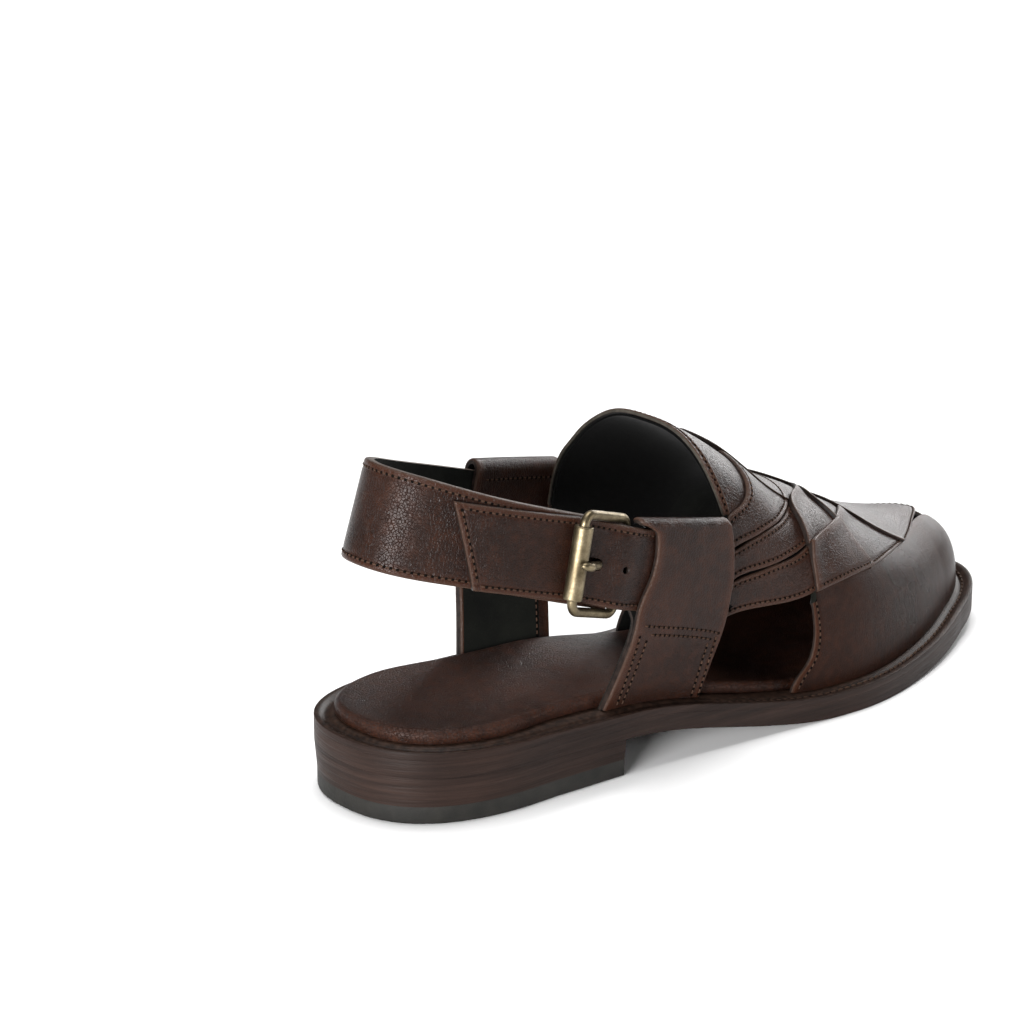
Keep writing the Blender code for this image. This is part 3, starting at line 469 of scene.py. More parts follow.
def wall(name, surface, normal, height, low, looks, edge, kinds=None):
    """Closed wall between the grid raised by the height field and lowered by low, with a row
    of faces round its border. The looks are those of the face, the back and the border."""
    rows, columns = surface.shape[:2]
    size = rows * columns
    top = surface + normal * height[..., None]
    bottom = surface + normal * low
    faces = grid_quads(rows, columns)
    loop = rim_of(rows, columns)
    ahead = np.roll(loop, -1)
    side = np.stack([ahead, loop, loop + size, ahead + size], axis=1)
    quads = np.concatenate([faces, faces[:, ::-1] + size, side])
    i, j = rows // 2, columns // 2
    turned = np.cross(surface[i + 1, j] - surface[i, j], surface[i, j + 1] - surface[i, j])
    if np.dot(turned, normal[i, j]) > 0:
        quads = quads[:, ::-1]
    over = np.zeros(len(faces)) if kinds is None else kinds.ravel()
    every = np.concatenate([over, np.ones(len(faces)), np.full(len(loop), 2)])
    points = np.concatenate([top.reshape(-1, 3), bottom.reshape(-1, 3)])
    edge = np.concatenate([edge.ravel(), np.zeros(size)])
    return mesh_object(name, points, quads, looks, every, edge), top


# Rows of stitches kept until the next threads are made of them
sewn = []


def sew_border(top, normal, side, inset, start=0.0, end=0.0):
    """Row of stitches at an inset from one border of a finished grid: the point at that
    length along each grid line, from a start to an end along the border."""
    if side in "az":
        top, normal = top.transpose(1, 0, 2), normal.transpose(1, 0, 2)
    if side in "lz":
        top, normal = top[::-1], normal[::-1]
    reach = reach_along(top, 0)
    upper = np.maximum(np.argmax(reach >= inset, axis=0), 1)
    column = np.arange(top.shape[1])
    low, high = reach[upper - 1, column], reach[upper, column]
    share = ((inset - low) / np.maximum(high - low, 1e-9))[:, None]
    line = top[upper - 1, column] * (1 - share) + top[upper, column] * share
    sew_line(line, normal[upper, column], start, end)


def sew_line(line, normal, start=0.0, end=0.0, pitch=PITCH):
    """Keep the places of stitches along a line: middle, direction and normal of each."""
    reach = length_along(line)
    count = int((reach[-1] - start - end) / pitch)
    if count < 1:
        return
    spare = (reach[-1] - start - end - count * pitch) / 2
    places = start + spare + pitch * (np.arange(count) + 0.5)
    middle = read_at(places, reach, line)
    way = read_at(places + pitch / 3, reach, line) - read_at(places - pitch / 3, reach, line)
    up = read_at(places, reach, normal)
    sewn.append((middle, way / np.linalg.norm(way, axis=1, keepdims=True),
                 up / np.linalg.norm(up, axis=1, keepdims=True)))


def sewn_threads(name, look, size_of=1.0):
    """All kept stitches: each thread is a low arch of five rings of six points, closed, and
    each needle hole a flat double cone between two threads, near black with painted shade."""
    middle, way, up = (np.concatenate([part[k] for part in sewn]) for k in range(3))
    sewn.clear()
    across = np.cross(way, up)
    size = np.array([0.30, 0.88, 1.0, 0.88, 0.30])
    lift = np.array([-0.9, 0.1, 0.45, 0.1, -0.9])
    turn = np.arange(6) / 6 * 2 * math.pi
    a = np.repeat([-0.5, -0.40, 0.0, 0.40, 0.5], 6) * THREAD_LENGTH * (1 + size_of) / 2
    s = (size[:, None] * np.cos(turn)).ravel() * THREAD_WIDTH / 2 * size_of
    h = (size[:, None] * np.sin(turn)).ravel() * THREAD_WIDTH / 2
    h = (h + np.repeat(lift, 6) * THREAD_HEIGHT) * size_of
    faces = [(r * 6 + k, r * 6 + (k + 1) % 6, r * 6 + 6 + (k + 1) % 6, r * 6 + 6 + k)
             for r in range(4) for k in range(6)]
    faces += [(3, 2, 1, 0), (0, 5, 4, 3), (24, 25, 26, 27), (27, 28, 29, 24)]
    axes = (way, across, up)
    repeated(name, middle, axes, (a, s, h), np.array(faces), look)
    turn = np.arange(8) / 8 * 2 * math.pi
    a = np.append(np.cos(turn) * NEEDLE_HOLE / 2, (0, 0))
    s = np.append(np.sin(turn) * NEEDLE_HOLE * 0.42, (0, 0))
    h = np.append(0 * turn + 0.00006, (0.00012, -0.0003))
    faces = [(k, (k + 1) % 8, 8) for k in range(8)] + [((k + 1) % 8, k, 9) for k in range(8)]
    # near-black cones between the threads: painted shade of the needle holes
    between = middle + way * PITCH / 2
    repeated(name + "_hole_shade", between, axes, (a, s, h), np.array(faces), painted_hole_shade)


def repeated(name, middle, axes, shape, faces, look):
    """One small closed shape set at every place, in that place's own three directions."""
    offsets = (axis[:, None] * part[None, :, None] for axis, part in zip(axes, shape))
    points = middle[:, None] + sum(offsets)
    turn = np.einsum("ij,ij->i", np.cross(axes[0], axes[1]), axes[2])
    every = faces[None] + len(shape[0]) * np.arange(len(middle))[:, None, None]
    every[turn < 0] = every[turn < 0][:, :, ::-1]
    return mesh_object(name, points.reshape(-1, 3), every.reshape(-1, faces.shape[1]), [look])


def rounded(gap, bevel):
    """How far a rounded edge has dropped at a distance from it: a quarter circle."""
    return bevel - np.sqrt(np.maximum(bevel ** 2 - np.maximum(bevel - gap, 0) ** 2, 0))


def groove(distance, place, width=0.0005, depth=0.00026):
    """Shallow groove that a row of stitches pulls into the leather: a bell of the distance."""
    return depth * np.exp(-((distance - place) / width) ** 2)


def leather_piece(name, surface, inside, height, low, looks, bevels, rows=(), lifts=(), lines=()):
    """A piece of leather on a grid. Its free borders are rounded by quarter circles; near a
    border where it passes over or under its neighbour its height changes by a bell of the
    distance; sewn rows are given as border, inset, start and end, scored lines as border
    and inset."""
    normal = outward(surface, inside)
    distance = {side: border_distance(surface, side) for side in "flaz"}
    field = np.full(surface.shape[:2], float(height))
    for side, lift in lifts:
        field += lift * np.exp(-(distance[side] / LIFT_REACH) ** 2)
    for side, bevel in bevels:
        field -= rounded(distance[side], bevel)
    for side, inset in [row[:2] for row in rows] + list(lines):
        field -= groove(distance[side], inset)
    edge = np.minimum.reduce([distance[side] for side, _ in bevels])
    made, top = wall(name, surface, normal, field, low, looks, edge)
    for side, inset, start, end in rows:
        sew_border(top, normal, side, inset, start, end)
    return made


def on_last(rear, front, steps):
    """Grid on the last between a rear and a front line, closer at both."""
    share = ends(steps)[:, None, None]
    grid = rear[None] * (1 - share) + front[None] * share
    return last_surface(grid[..., 0], grid[..., 1])


def strip(name, rear, front, height, steps, bevels, across=False, mirror=False, low=-0.0012,
          looks=None, **more):
    """Piece of the upper between a rear and a front line on the last. It lies on one side,
    its mirror on the other, or it goes across the ridge."""
    if across:
        half = 1 - np.cos(np.linspace(0, math.pi / 2, steps[1]))
        rear, front = (over_ridge(smooth_line(line, half)) for line in (rear, front))
    else:
        rear, front = (smooth_line(line, ends(steps[1])) for line in (rear, front))
    if mirror:
        rear, front = inner_side(rear), inner_side(front)
    surface = on_last(rear, front, steps[0])
    return leather_piece(name, surface, INSIDE, height, low, looks or LEATHER, bevels, **more)


def tube(name, path, radius, look, closed=False, sides_count=14):
    """Round bar along a path: rings on a frame carried along it without twist, capped."""
    path = np.asarray(path, float)
    count = len(path)
    if closed:
        way = np.roll(path, -1, axis=0) - np.roll(path, 1, axis=0)
    else:
        way = np.gradient(path, axis=0)
    way /= np.linalg.norm(way, axis=1, keepdims=True)
    first = np.cross(way[0], (0.0, 0.0, 1.0))
    if np.linalg.norm(first) < 0.1:
        first = np.cross(way[0], (0.0, 1.0, 0.0))
    frames = [first / np.linalg.norm(first)]
    for k in range(1, count):
        side = frames[-1] - way[k] * np.dot(frames[-1], way[k])
        frames.append(side / np.linalg.norm(side))
    u = np.array(frames)
    v = np.cross(way, u)
    turn = np.arange(sides_count) / sides_count * 2 * math.pi
    size = np.broadcast_to(np.asarray(radius, float), (count,))[:, None, None]
    ring = u[:, None] * np.cos(turn)[None, :, None] + v[:, None] * np.sin(turn)[None, :, None]
    points = (path[:, None] + ring * size).reshape(-1, 3)
    spans = count if closed else count - 1
    i, j = np.meshgrid(np.arange(spans), np.arange(sides_count), indexing="ij")
    a = i * sides_count + j
    b = i * sides_count + (j + 1) % sides_count
    up = sides_count * count
    quads = np.stack([a, b, (b + sides_count) % up, (a + sides_count) % up], axis=-1).reshape(-1, 4)
    if not closed:
        caps = []
        for start in (0, (count - 1) * sides_count):
            low, high = 0, sides_count - 1
            while high - low > 1:
                quad = (start + low, start + high, start + high - 1, start + low + 1)
                caps.append(quad if start == 0 else quad[::-1])
                low, high = low + 1, high - 1
        quads = np.concatenate([quads, np.array(caps)])
    return mesh_object(name, points, quads, [look])


# Materials
def ramp(tree, source, stops):
    """Colour read from stops of place and colour."""
    made = tree.nodes.new("ShaderNodeValToRGB")
    while len(made.color_ramp.elements) < len(stops):
        made.color_ramp.elements.new(0.5)
    for element, (place, colour) in zip(made.color_ramp.elements, stops):
        element.position = place
        element.color = (*colour, 1)
    tree.links.new(source, made.inputs[0])
    return made.outputs["Color"]


def blend(tree, share, first, second):
    """Mix of two colours; each is a colour or a socket."""
    made = tree.nodes.new("ShaderNodeMix")
    made.data_type = "RGBA"
    for socket, value in ((made.inputs[0], share), (made.inputs[6], first), (made.inputs[7], second)):
        if isinstance(value, bpy.types.NodeSocket):
            tree.links.new(value, socket)
        elif isinstance(value, tuple):
            socket.default_value = (*value, 1)
        else:
            socket.default_value = value
    return made.outputs[2]


def in_range(tree, source, low, high, to_low=0.0, to_high=1.0):
    """A value carried from one range to another and held at its ends."""
    made = tree.nodes.new("ShaderNodeMapRange")
    tree.links.new(source, made.inputs["Value"])
    for name, value in (("From Min", low), ("From Max", high), ("To Min", to_low), ("To Max", to_high)):
        made.inputs[name].default_value = value
    return made.outputs["Result"]


def start_material(name):
    """New material with its shader and the place on the object that its patterns read."""
    made = bpy.data.materials.new(name)
    made.use_nodes = True
    tree = made.node_tree
    shader = tree.nodes["Principled BSDF"]
    place = tree.nodes.new("ShaderNodeTexCoord").outputs["Object"]
    return made, tree, shader, place


def set_finish(tree, shader, body, rough, shine):
    """Colour, roughness and strength of the gloss of a shader."""
    tree.links.new(body, shader.inputs["Base Color"])
    if isinstance(rough, bpy.types.NodeSocket):
        tree.links.new(rough, shader.inputs["Roughness"])
    else:
        shader.inputs["Roughness"].default_value = rough
    shader.inputs["Specular IOR Level"].default_value = shine


def noise(tree, place, scale, detail=3.0, roughness=0.5, stretch=None):
    """Cloudy value; the stretch draws it out along the axes with small numbers."""
    if stretch:
        turned = tree.nodes.new("ShaderNodeMapping")
        tree.links.new(place, turned.inputs["Vector"])
        turned.inputs["Scale"].default_value = stretch
        place = turned.outputs["Vector"]
    made = tree.nodes.new("ShaderNodeTexNoise")
    tree.links.new(place, made.inputs["Vector"])
    made.inputs["Scale"].default_value = scale
    made.inputs["Detail"].default_value = detail
    made.inputs["Roughness"].default_value = roughness
    return made.outputs["Fac"]


def pebbles(tree, place, scale):
    """Small raised cells of the grain, from the distance to the cells' edges."""
    made = tree.nodes.new("ShaderNodeTexVoronoi")
    made.feature = "DISTANCE_TO_EDGE"
    made.inputs["Scale"].default_value = scale
    tree.links.new(place, made.inputs["Vector"])
    return made.outputs["Distance"]


def bumps(tree, shader, layers):
    """Chain of bump nodes: height socket, strength and distance of each."""
    last = None
    for height, strength, distance in layers:
        made = tree.nodes.new("ShaderNodeBump")
        made.inputs["Strength"].default_value = strength
        made.inputs["Distance"].default_value = distance
        tree.links.new(height, made.inputs["Height"])
        if last:
            tree.links.new(last, made.inputs["Normal"])
        last = made.outputs["Normal"]
    tree.links.new(last, shader.inputs["Normal"])


def brown_leather(name, grain, depth, smooth, rough, creases, shine, contrast, tone=1.0):
    """Dyed and waxed leather: slow changes of tone with warm worn spots, a thin line of painted
    highlight along rounded edges and a warm band beside it, a grain of small cells with finer
    pores, and fine creases that run upright."""
    made, tree, shader, place = start_material(name)
    slow = noise(tree, place, 30, 4)
    quick = noise(tree, place, 280, 4, 0.6)
    shades = (DARK_BROWN, BROWN, WARM_BROWN)
    dark, brown, warm = (tuple(tone * part for part in shade) for shade in shades)
    body = ramp(tree, slow, ((0.32, dark), (0.68, brown)))
    body = blend(tree, in_range(tree, quick, 0.45, 0.80, 0.0, 0.5), body, warm)
    cells = in_range(tree, pebbles(tree, place, grain), 0.0, 0.12)
    body = blend(tree, in_range(tree, cells, 0.0, 1.0, contrast, 0.0), body, PORE_BROWN)
    field = tree.nodes.new("ShaderNodeAttribute")
    field.attribute_name = "edge"
    edge = field.outputs["Fac"]
    body = blend(tree, in_range(tree, edge, 0.0012, 0.0036, 0.5, 0.0), body, warm)
    # painted highlight: a thin pale line along the rounded edges, where they would catch the light
    body = blend(tree, in_range(tree, edge, 0.0002, 0.0009, 0.6, 0.0), body, EDGE_HIGHLIGHT_BROWN)
    set_finish(tree, shader, body, in_range(tree, slow, 0.3, 0.7, smooth, rough), shine)
    pores = noise(tree, place, grain * 2.4, 4, 0.6)
    upright = noise(tree, place, 420, 3, 0.6, stretch=(1.0, 1.0, 0.22))
    bumps(tree, shader, ((cells, 0.45, depth), (pores, 0.35, depth * 0.8), (upright, creases, 0.0005),
                         (slow, 0.2, 0.0010)))
    return made


def mottled(name, first, second, pattern, rough, shine, relief):
    """Plain finish of two tones. The pattern is the noise's scale and detail, and the relief
    the scale, detail, strength and depth of its bumps."""
    made, tree, shader, place = start_material(name)
    body = ramp(tree, noise(tree, place, *pattern), ((0.3, first), (0.7, second)))
    set_finish(tree, shader, body, rough, shine)
    scale, detail, strength, depth = relief
    bumps(tree, shader, ((noise(tree, place, scale, detail), strength, depth),))
    return made


def suede(name, first, second):
    """Napped inner side of the leather, with a faint sheen."""
    made = mottled(name, first, second, (90, 5), 0.95, 0.1, (1800, 4, 0.5, 0.0003))
    shader = made.node_tree.nodes["Principled BSDF"]
    shader.inputs["Sheen Weight"].default_value = 0.04
    shader.inputs["Sheen Roughness"].default_value = 0.5
    return made


def cut_edge(name, first, second, rough, shine=0.15):
    """Cut through the leather, painted or left raw."""
    return mottled(name, first, second, (500, 4), rough, shine, (1200, 3, 0.4, 0.0002))


def thread(name, first, second):
    """Waxed thread."""
    return mottled(name, first, second, (1500, 3), 0.7, 0.12, (5000, 2, 0.5, 0.0001))


def stained_edge(name, dark, light, rough_low, rough_high):
    """Burnished edge of stacked sole leather: streaks and fine lines that run level."""
    made, tree, shader, place = start_material(name)
    streaks = noise(tree, place, 60, 5, 0.6, stretch=(0.35, 0.35, 9.0))
    fine = noise(tree, place, 220, 4, 0.65, stretch=(0.25, 0.25, 8.0))
    blotch = noise(tree, place, 30, 3)
    body = ramp(tree, streaks, ((0.30, dark), (0.75, light)))
    body = blend(tree, in_range(tree, blotch, 0.4, 0.8, 0.0, 0.5), body, tuple(0.55 * c for c in dark))
    set_finish(tree, shader, body, in_range(tree, fine, 0.3, 0.7, rough_low, rough_high), 0.13)
    bumps(tree, shader, ((streaks, 0.45, 0.0005), (fine, 0.5, 0.0003)))
    return made


def antique_brass(name):
    """Brass with a dark patina in its hollows and fine scratches."""
    made, tree, shader, place = start_material(name)
    patina = noise(tree, place, 160, 6, 0.7)
    speck = noise(tree, place, 1400, 4, 0.7)
    body = ramp(tree, patina, ((0.30, DARK_BRASS), (0.55, BRASS), (0.80, WORN_BRASS)))
    body = blend(tree, in_range(tree, speck, 0.5, 0.75, 0.0, 0.6), body, TARNISH)
    set_finish(tree, shader, body, in_range(tree, speck, 0.3, 0.7, 0.33, 0.52), 0.5)
    shader.inputs["Metallic"].default_value = 1.0
    bumps(tree, shader, ((speck, 0.25, 0.0001), (patina, 0.25, 0.0003)))
    return made


DARK_BROWN = (0.0088, 0.0034, 0.0021)
BROWN = (0.0225, 0.0086, 0.0052)
WARM_BROWN = (0.0450, 0.0148, 0.0068)
# colour of the painted highlight along rounded leather edges
EDGE_HIGHLIGHT_BROWN = (0.0540, 0.0340, 0.0250)
PORE_BROWN = (0.0025, 0.0013, 0.0010)
DARK_BRASS = (0.075, 0.057, 0.033)
BRASS = (0.185, 0.150, 0.092)
WORN_BRASS = (0.30, 0.25, 0.165)
TARNISH = (0.07, 0.05, 0.03)
grain_side = brown_leather("brown_leather", 1050, 0.00024, 0.29, 0.42, 0.3, 0.15, 0.45, 1.2)
toe_leather = brown_leather("toe_leather", 1300, 0.00010, 0.25, 0.35, 0.2, 0.065, 0.15)
strap_leather = brown_leather("strap_leather", 1050, 0.00026, 0.26, 0.37, 0.35, 0.15, 0.55)
insole_leather = brown_leather("insole_leather", 900, 0.00060, 0.36, 0.50, 0.2, 0.17, 0.60, 1.7)
lining = suede("black_green_suede", (0.0016, 0.0019, 0.0014), (0.0060, 0.0066, 0.0046))
# the same suede much darker: painted shade inside the throat
shaded_lining = suede("lining_painted_shade", (0.0003, 0.0003, 0.0003), (0.0012, 0.0012, 0.0011))
dark_cut = cut_edge("painted_cut_edge", (0.010, 0.007, 0.006), (0.026, 0.018, 0.015), 0.45)
light_cut = cut_edge("raw_cut_edge", (0.060, 0.045, 0.036), (0.115, 0.090, 0.075), 0.5)
rim_cut = cut_edge("raw_lining_edge", (0.026, 0.023, 0.018), (0.060, 0.052, 0.042), 0.7)
# near black: painted shade in the needle holes
painted_hole_shade = cut_edge("painted_hole_shade", (0.0035, 0.0030, 0.0030), (0.0060, 0.0050, 0.0040), 0.9, 0.0)
sole_edge = stained_edge("stained_sole_edge", (0.0100, 0.0052, 0.0039), (0.0320, 0.0178, 0.0136),
                         0.40, 0.60)
welt_face = cut_edge("rough_welt_face", (0.0080, 0.0040, 0.0026), (0.0340, 0.0180, 0.0120), 0.50)
top_lift_rubber = mottled("black_top_lift", (0.006, 0.0055, 0.0045), (0.015, 0.0135, 0.011),
                          (140, 5), 0.62, 0.3, (900, 4, 0.35, 0.0003))
brass = antique_brass("antique_brass")
brown_thread = thread("brown_thread", (0.026, 0.013, 0.008), (0.070, 0.038, 0.024))
welt_thread = thread("welt_thread", (0.022, 0.012, 0.008), (0.075, 0.044, 0.030))
LEATHER = [grain_side, lining, dark_cut]


# Sole
def sole_piece(name, node_name, levels, looks, kinds, count=150, last=1.0):
    """Loft through rings of the sole's plan, each given by an inset and a height. The first
    and the last ring are closed by strips that go straight across from side to side. Kinds
    gives the look of each step from ring to ring."""
    rings = []
    for inset, height in levels:
        outer, inner = sides(count, last, inset)
        if last == 1:
            inner = inner[:-1]
        ring = np.concatenate([outer, inner[:0:-1]])
        rings.append(np.column_stack([ring, height(ring[:, 0])]))
    size = len(rings[0])
    i, k = np.meshgrid(np.arange(len(rings) - 1), np.arange(size), indexing="ij")
    a = i * size + k
    b = i * size + (k + 1) % size
    faces = np.stack([a, b, b + size, a + size], axis=-1).reshape(-1, 4).tolist()
    shown = list(np.repeat(kinds, size))
    for start, turned, kind in ((0, -1, kinds[0]), ((len(rings) - 1) * size, 1, kinds[-1])):
        strips = [(0, 1, size - 1)]
        low, high = 1, size - 1
        while high - low > 1:
            strips.append(tuple(dict.fromkeys((low, low + 1, high - 1, high))))
            low, high = low + 1, high - 1
        faces += [tuple(start + point for point in face[::turned]) for face in strips]
        shown += [kind] * len(strips)
    points = np.concatenate(rings)
    mesh = bpy.data.meshes.new(name)
    mesh.from_pydata(points.tolist(), [], faces)
    for look in looks:
        mesh.materials.append(look)
    mesh.polygons.foreach_set("material_index", np.array(shown, np.int32))
    field = mesh.attributes.new("edge", "FLOAT", "POINT")
    field.data.foreach_set("value", np.full(len(points), 0.01, np.float32))
    work = bmesh.new()
    work.from_mesh(mesh)
    bmesh.ops.remove_doubles(work, verts=work.verts, dist=2e-6)
    bmesh.ops.recalc_face_normals(work, faces=work.faces)
    work.to_mesh(mesh)
    work.free()
    made = finished(mesh)
    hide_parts(node_name)
    return made


def raised(base, rise):
    """A height function that lies higher than another by the rise."""
    return lambda x: base(x) + rise


def level_at(height):
    """A height function that is the same all over."""
    return lambda x: np.full(np.shape(x), height)


def rounded_levels(low, high, radius_low, radius_high, steps=5):
    """Levels of a side wall whose lower and upper edge are quarter circles."""
    levels = []
    for turn in np.linspace(0, math.pi / 2, steps):
        levels.append((radius_low * (1 - math.sin(turn)), raised(low, radius_low * (1 - math.cos(turn)))))
    for turn in np.linspace(math.pi / 2, 0, steps):
        drop = radius_high * (1 - math.cos(turn))
        levels.append((radius_high * (1 - math.sin(turn)), raised(high, -drop)))
    return levels


def build_sole():
    """Outsole, welt with the groove of its stitches, heel stack and top lift."""
    levels = rounded_levels(underside, raised(underside, OUTSOLE + 0.00028), 0.00006, 0.00004)
    sole_piece("sole_layer", "outsole", levels, [sole_edge], [0] * 9)
    levels = rounded_levels(raised(underside, OUTSOLE + GAP), welt_top, 0.00004, 0.0005)
    for inset, drop in ((0.0014, 0.0), (0.0022, 0.0002), (0.0028, 0.0009), (0.0036, 0.0012),
                        (0.0046, 0.0012), (0.0052, 0.0006), (0.0057, 0.0002)):
        levels.append((inset, raised(welt_top, -drop)))
    sole_piece("welt_rim", "welt", levels, [sole_edge, welt_face], [0] * 8 + [1] * 8)
    share = HEEL_LENGTH / LENGTH
    lift_top = TOP_LIFT + 0.00003
    block = [(HEEL_TAPER, level_at(lift_top)), (HEEL_TAPER, level_at(lift_top + 0.0002)),
             (0.0, raised(underside, -0.0003)), (0.0, raised(underside, -0.00003))]
    sole_piece("heel_stack", "heel_block", block, [sole_edge], [0] * 3, 90, share)
    lift = [(HEEL_TAPER + 0.0008, level_at(0.0)), (HEEL_TAPER + 0.0002, level_at(0.0003)),
            (HEEL_TAPER, level_at(0.0009)), (HEEL_TAPER, level_at(TOP_LIFT - 0.0002)),
            (HEEL_TAPER, level_at(TOP_LIFT))]
    sole_piece("top_lift", "heel_top_lift", lift, [top_lift_rubber], [0] * 4, 90, share)
    outer, inner = sides(700, inset=WELT_STITCH_INSET)
    ring = np.concatenate([outer, inner[::-1]])
    ring = np.column_stack([ring, welt_top(ring[:, 0]) - 0.0010])
    ring = ring[ring[:, 0] > WELT_SEWN_FROM]
    sew_line(ring, np.tile((0.0, 0.0, 1.0), (len(ring), 1)), pitch=WELT_PITCH)


def build_insole():
    """Padded insole: a quarter circle round its edge, then a slight dish."""
    along = ends(151)
    inner_wall = EAR_FOOT_INSET + 2 * EAR_LEAF + GAP
    inset = INSOLE_HEEL_INSET + (inner_wall - INSOLE_HEEL_INSET) * ease((along - 0.12) / 0.13)
    floor = raised(welt_top, GAP)
    radius = 0.0024

    def top(x):
        return floor(x) + INSOLE_HEIGHT * (1 - 0.3 * ease((x + HEEL_SEAT - 0.10) / 0.08))

    levels = [(inset + 0.0004, floor), (inset, raised(floor, 0.0005))]
    for turn in np.linspace(0, math.pi / 2, 9):
        drop = radius * (1 - math.sin(turn))
        levels.append((inset + radius * (1 - math.cos(turn)), raised(top, -drop)))
    for extra, dip in ((0.0040, 0.00008), (0.0062, 0.00022), (0.0090, 0.00036), (0.0125, 0.00045)):
        levels.append((inset + extra, raised(top, -dip)))
    kinds = [0] * (len(levels) - 1)
    made = sole_piece("insole_pad", "insole", levels, [insole_leather], kinds)


# Straps
def strap_point(p, y, w):
    """Place of a point on the strap's inclined plane: forward, sideways, up its width."""
    return np.stack([STRAP_REAR + p * math.cos(STRAP_SLOPE) + w * math.sin(STRAP_SLOPE), y + 0 * p,
                     STRAP_REAR_HEIGHT - p * math.sin(STRAP_SLOPE) + w * math.cos(STRAP_SLOPE)], axis=-1)


def leaning(points_along, sideways, w):
    """The buckle stands askew on the strap: its lower end is further forward."""
    return strap_point(points_along + BUCKLE_LEAN * (STRAP_WIDTH / 2 - w), sideways, w)


def strap_place(x, z):
    """How far along the strap's plane a point lies."""
    return (x - STRAP_REAR) * math.cos(STRAP_SLOPE) - (z - STRAP_REAR_HEIGHT) * math.sin(STRAP_SLOPE)


def strap_half(p):
    """Half width of the strap's ring: a flattened superellipse round the heel."""
    length, power = STRAP_BEND
    return STRAP_HALF_SPAN * (1 - np.clip(1 - p / length, 0, 1) ** power) ** (1 / power)


def bend_line(places, offset, side):
    """Plan line of the strap's outer face on one side, moved outwards by the offset."""
    step = 1e-5
    slope = (strap_half(places + step) - strap_half(np.maximum(places - step, 0))) / (2 * step)
    slope = np.where(places < step, 1e6, slope)
    normal = np.stack([-slope, np.ones_like(slope)], axis=1)
    normal /= np.linalg.norm(normal, axis=1, keepdims=True)
    line = np.stack([places, strap_half(places)], axis=1) + normal * np.reshape(offset, (-1, 1))
    return line * (1, side)


def at_place(place, offset):
    """One point of the outer side's plan line, moved outwards by the offset."""
    return bend_line(np.array([place]), offset, -1)[0]


def tail_offset(places):
    """Gap below the tail strap: a bell that lifts it over the loop at the buckle's bar."""
    loop = (WIRE_DIAMETER + 2 * GAP + STRAP_THICKNESS) / 2 - STRAP_THICKNESS / 2
    return GAP + 1.15 * loop * np.exp(-((places - BAR_AT) / 0.0065) ** 2)


def band_grid(line, low, high, count):
    """Grid of a band: along its plan line, and across from its low to its high edge."""
    share = ends(count)[None]
    w = low[:, None] * (1 - share) + high[:, None] * share
    return strap_point(line[:, 0][:, None] + 0 * w, line[:, 1][:, None] + 0 * w, w)


def build_heel_strap():
    """Band from the buckle's bar round the heel to the inner ear, and its loop on the bar."""
    bend = STRAP_BEND[0]
    outer = bend * (1 - np.cos(np.linspace(0, math.acos(1 - (BAR_AT - 0.001) / bend), 240)))
    inner = bend * (1 - np.cos(np.linspace(0, math.acos(1 - STRAP_INNER_END / bend), 260)))[1:]
    line = np.concatenate([bend_line(outer, 0, -1)[::-1], bend_line(inner, 0, 1)])
    line = even_line(line, ends(420))
    half = STRAP_WIDTH / 2 + BAND_SWELL * np.exp(-(line[:, 0] / BAND_SWELL_REACH) ** 2)
    surface = band_grid(line, -half, half, 34)
    made = leather_piece("heel_band", surface, HEEL_MIDDLE, 0.0, -STRAP_THICKNESS,
                         [strap_leather, lining, light_cut], (("a", 0.0009), ("z", 0.0009)),
                         [(side, BAND_STITCH_INSET, 0.004, 0.0) for side in "az"])
    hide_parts("heel_strap")
    middle = at_place(BAR_AT, -STRAP_THICKNESS / 2)
    turn = np.linspace(-2.6, 2.6, 40)
    size = WIRE_DIAMETER / 2 + GAP + STRAP_THICKNESS / 2 - 0.0002
    ring = middle + size * np.stack([np.cos(turn), -np.sin(turn)], axis=1)
    w = np.full((len(ring), 1), CHAPE_WIDTH / 2) * (2 * ends(16)[None] - 1)
    grid = leaning(ring[:, :1] + 0 * w, ring[:, 1:] + 0 * w, w)
    leather_piece("strap_loop", grid, leaning(middle[0], middle[1], 0.0), 0.0,
                  -STRAP_THICKNESS / 2 + 0.0003, [strap_leather, lining, dark_cut],
                  (("a", 0.0006), ("z", 0.0006)))


def prong_hole():
    """Place of the hole that the prong goes through."""
    return ROLLER_AT + ROLLER_DIAMETER / 2 + 0.0052


def tail_middle(places):
    """The tail strap leans a little: its middle is low at the tip and high at the buckle."""
    return np.interp(places, (TAIL_TIP_TOP, ROLLER_AT), (-0.0022, 0.0004))


def punch(made, place, size):
    """Round hole through the tail strap, cut by a bar."""
    near, far = at_place(place, -0.004), at_place(place, 0.012)
    path = strap_point(np.array([near[0], far[0]]), np.array([near[1], far[1]]), 0.0)
    bar = tube("punch", path, size / 2, dark_cut, sides_count=20)
    step = made.modifiers.new("punch", "BOOLEAN")
    step.operation = "DIFFERENCE"
    step.solver = "EXACT"
    step.object = bar
    graph = bpy.context.evaluated_depsgraph_get()
    mesh = bpy.data.meshes.new_from_object(made.evaluated_get(graph))
    made.modifiers.clear()
    made.data = mesh
    bpy.data.objects.remove(bar)


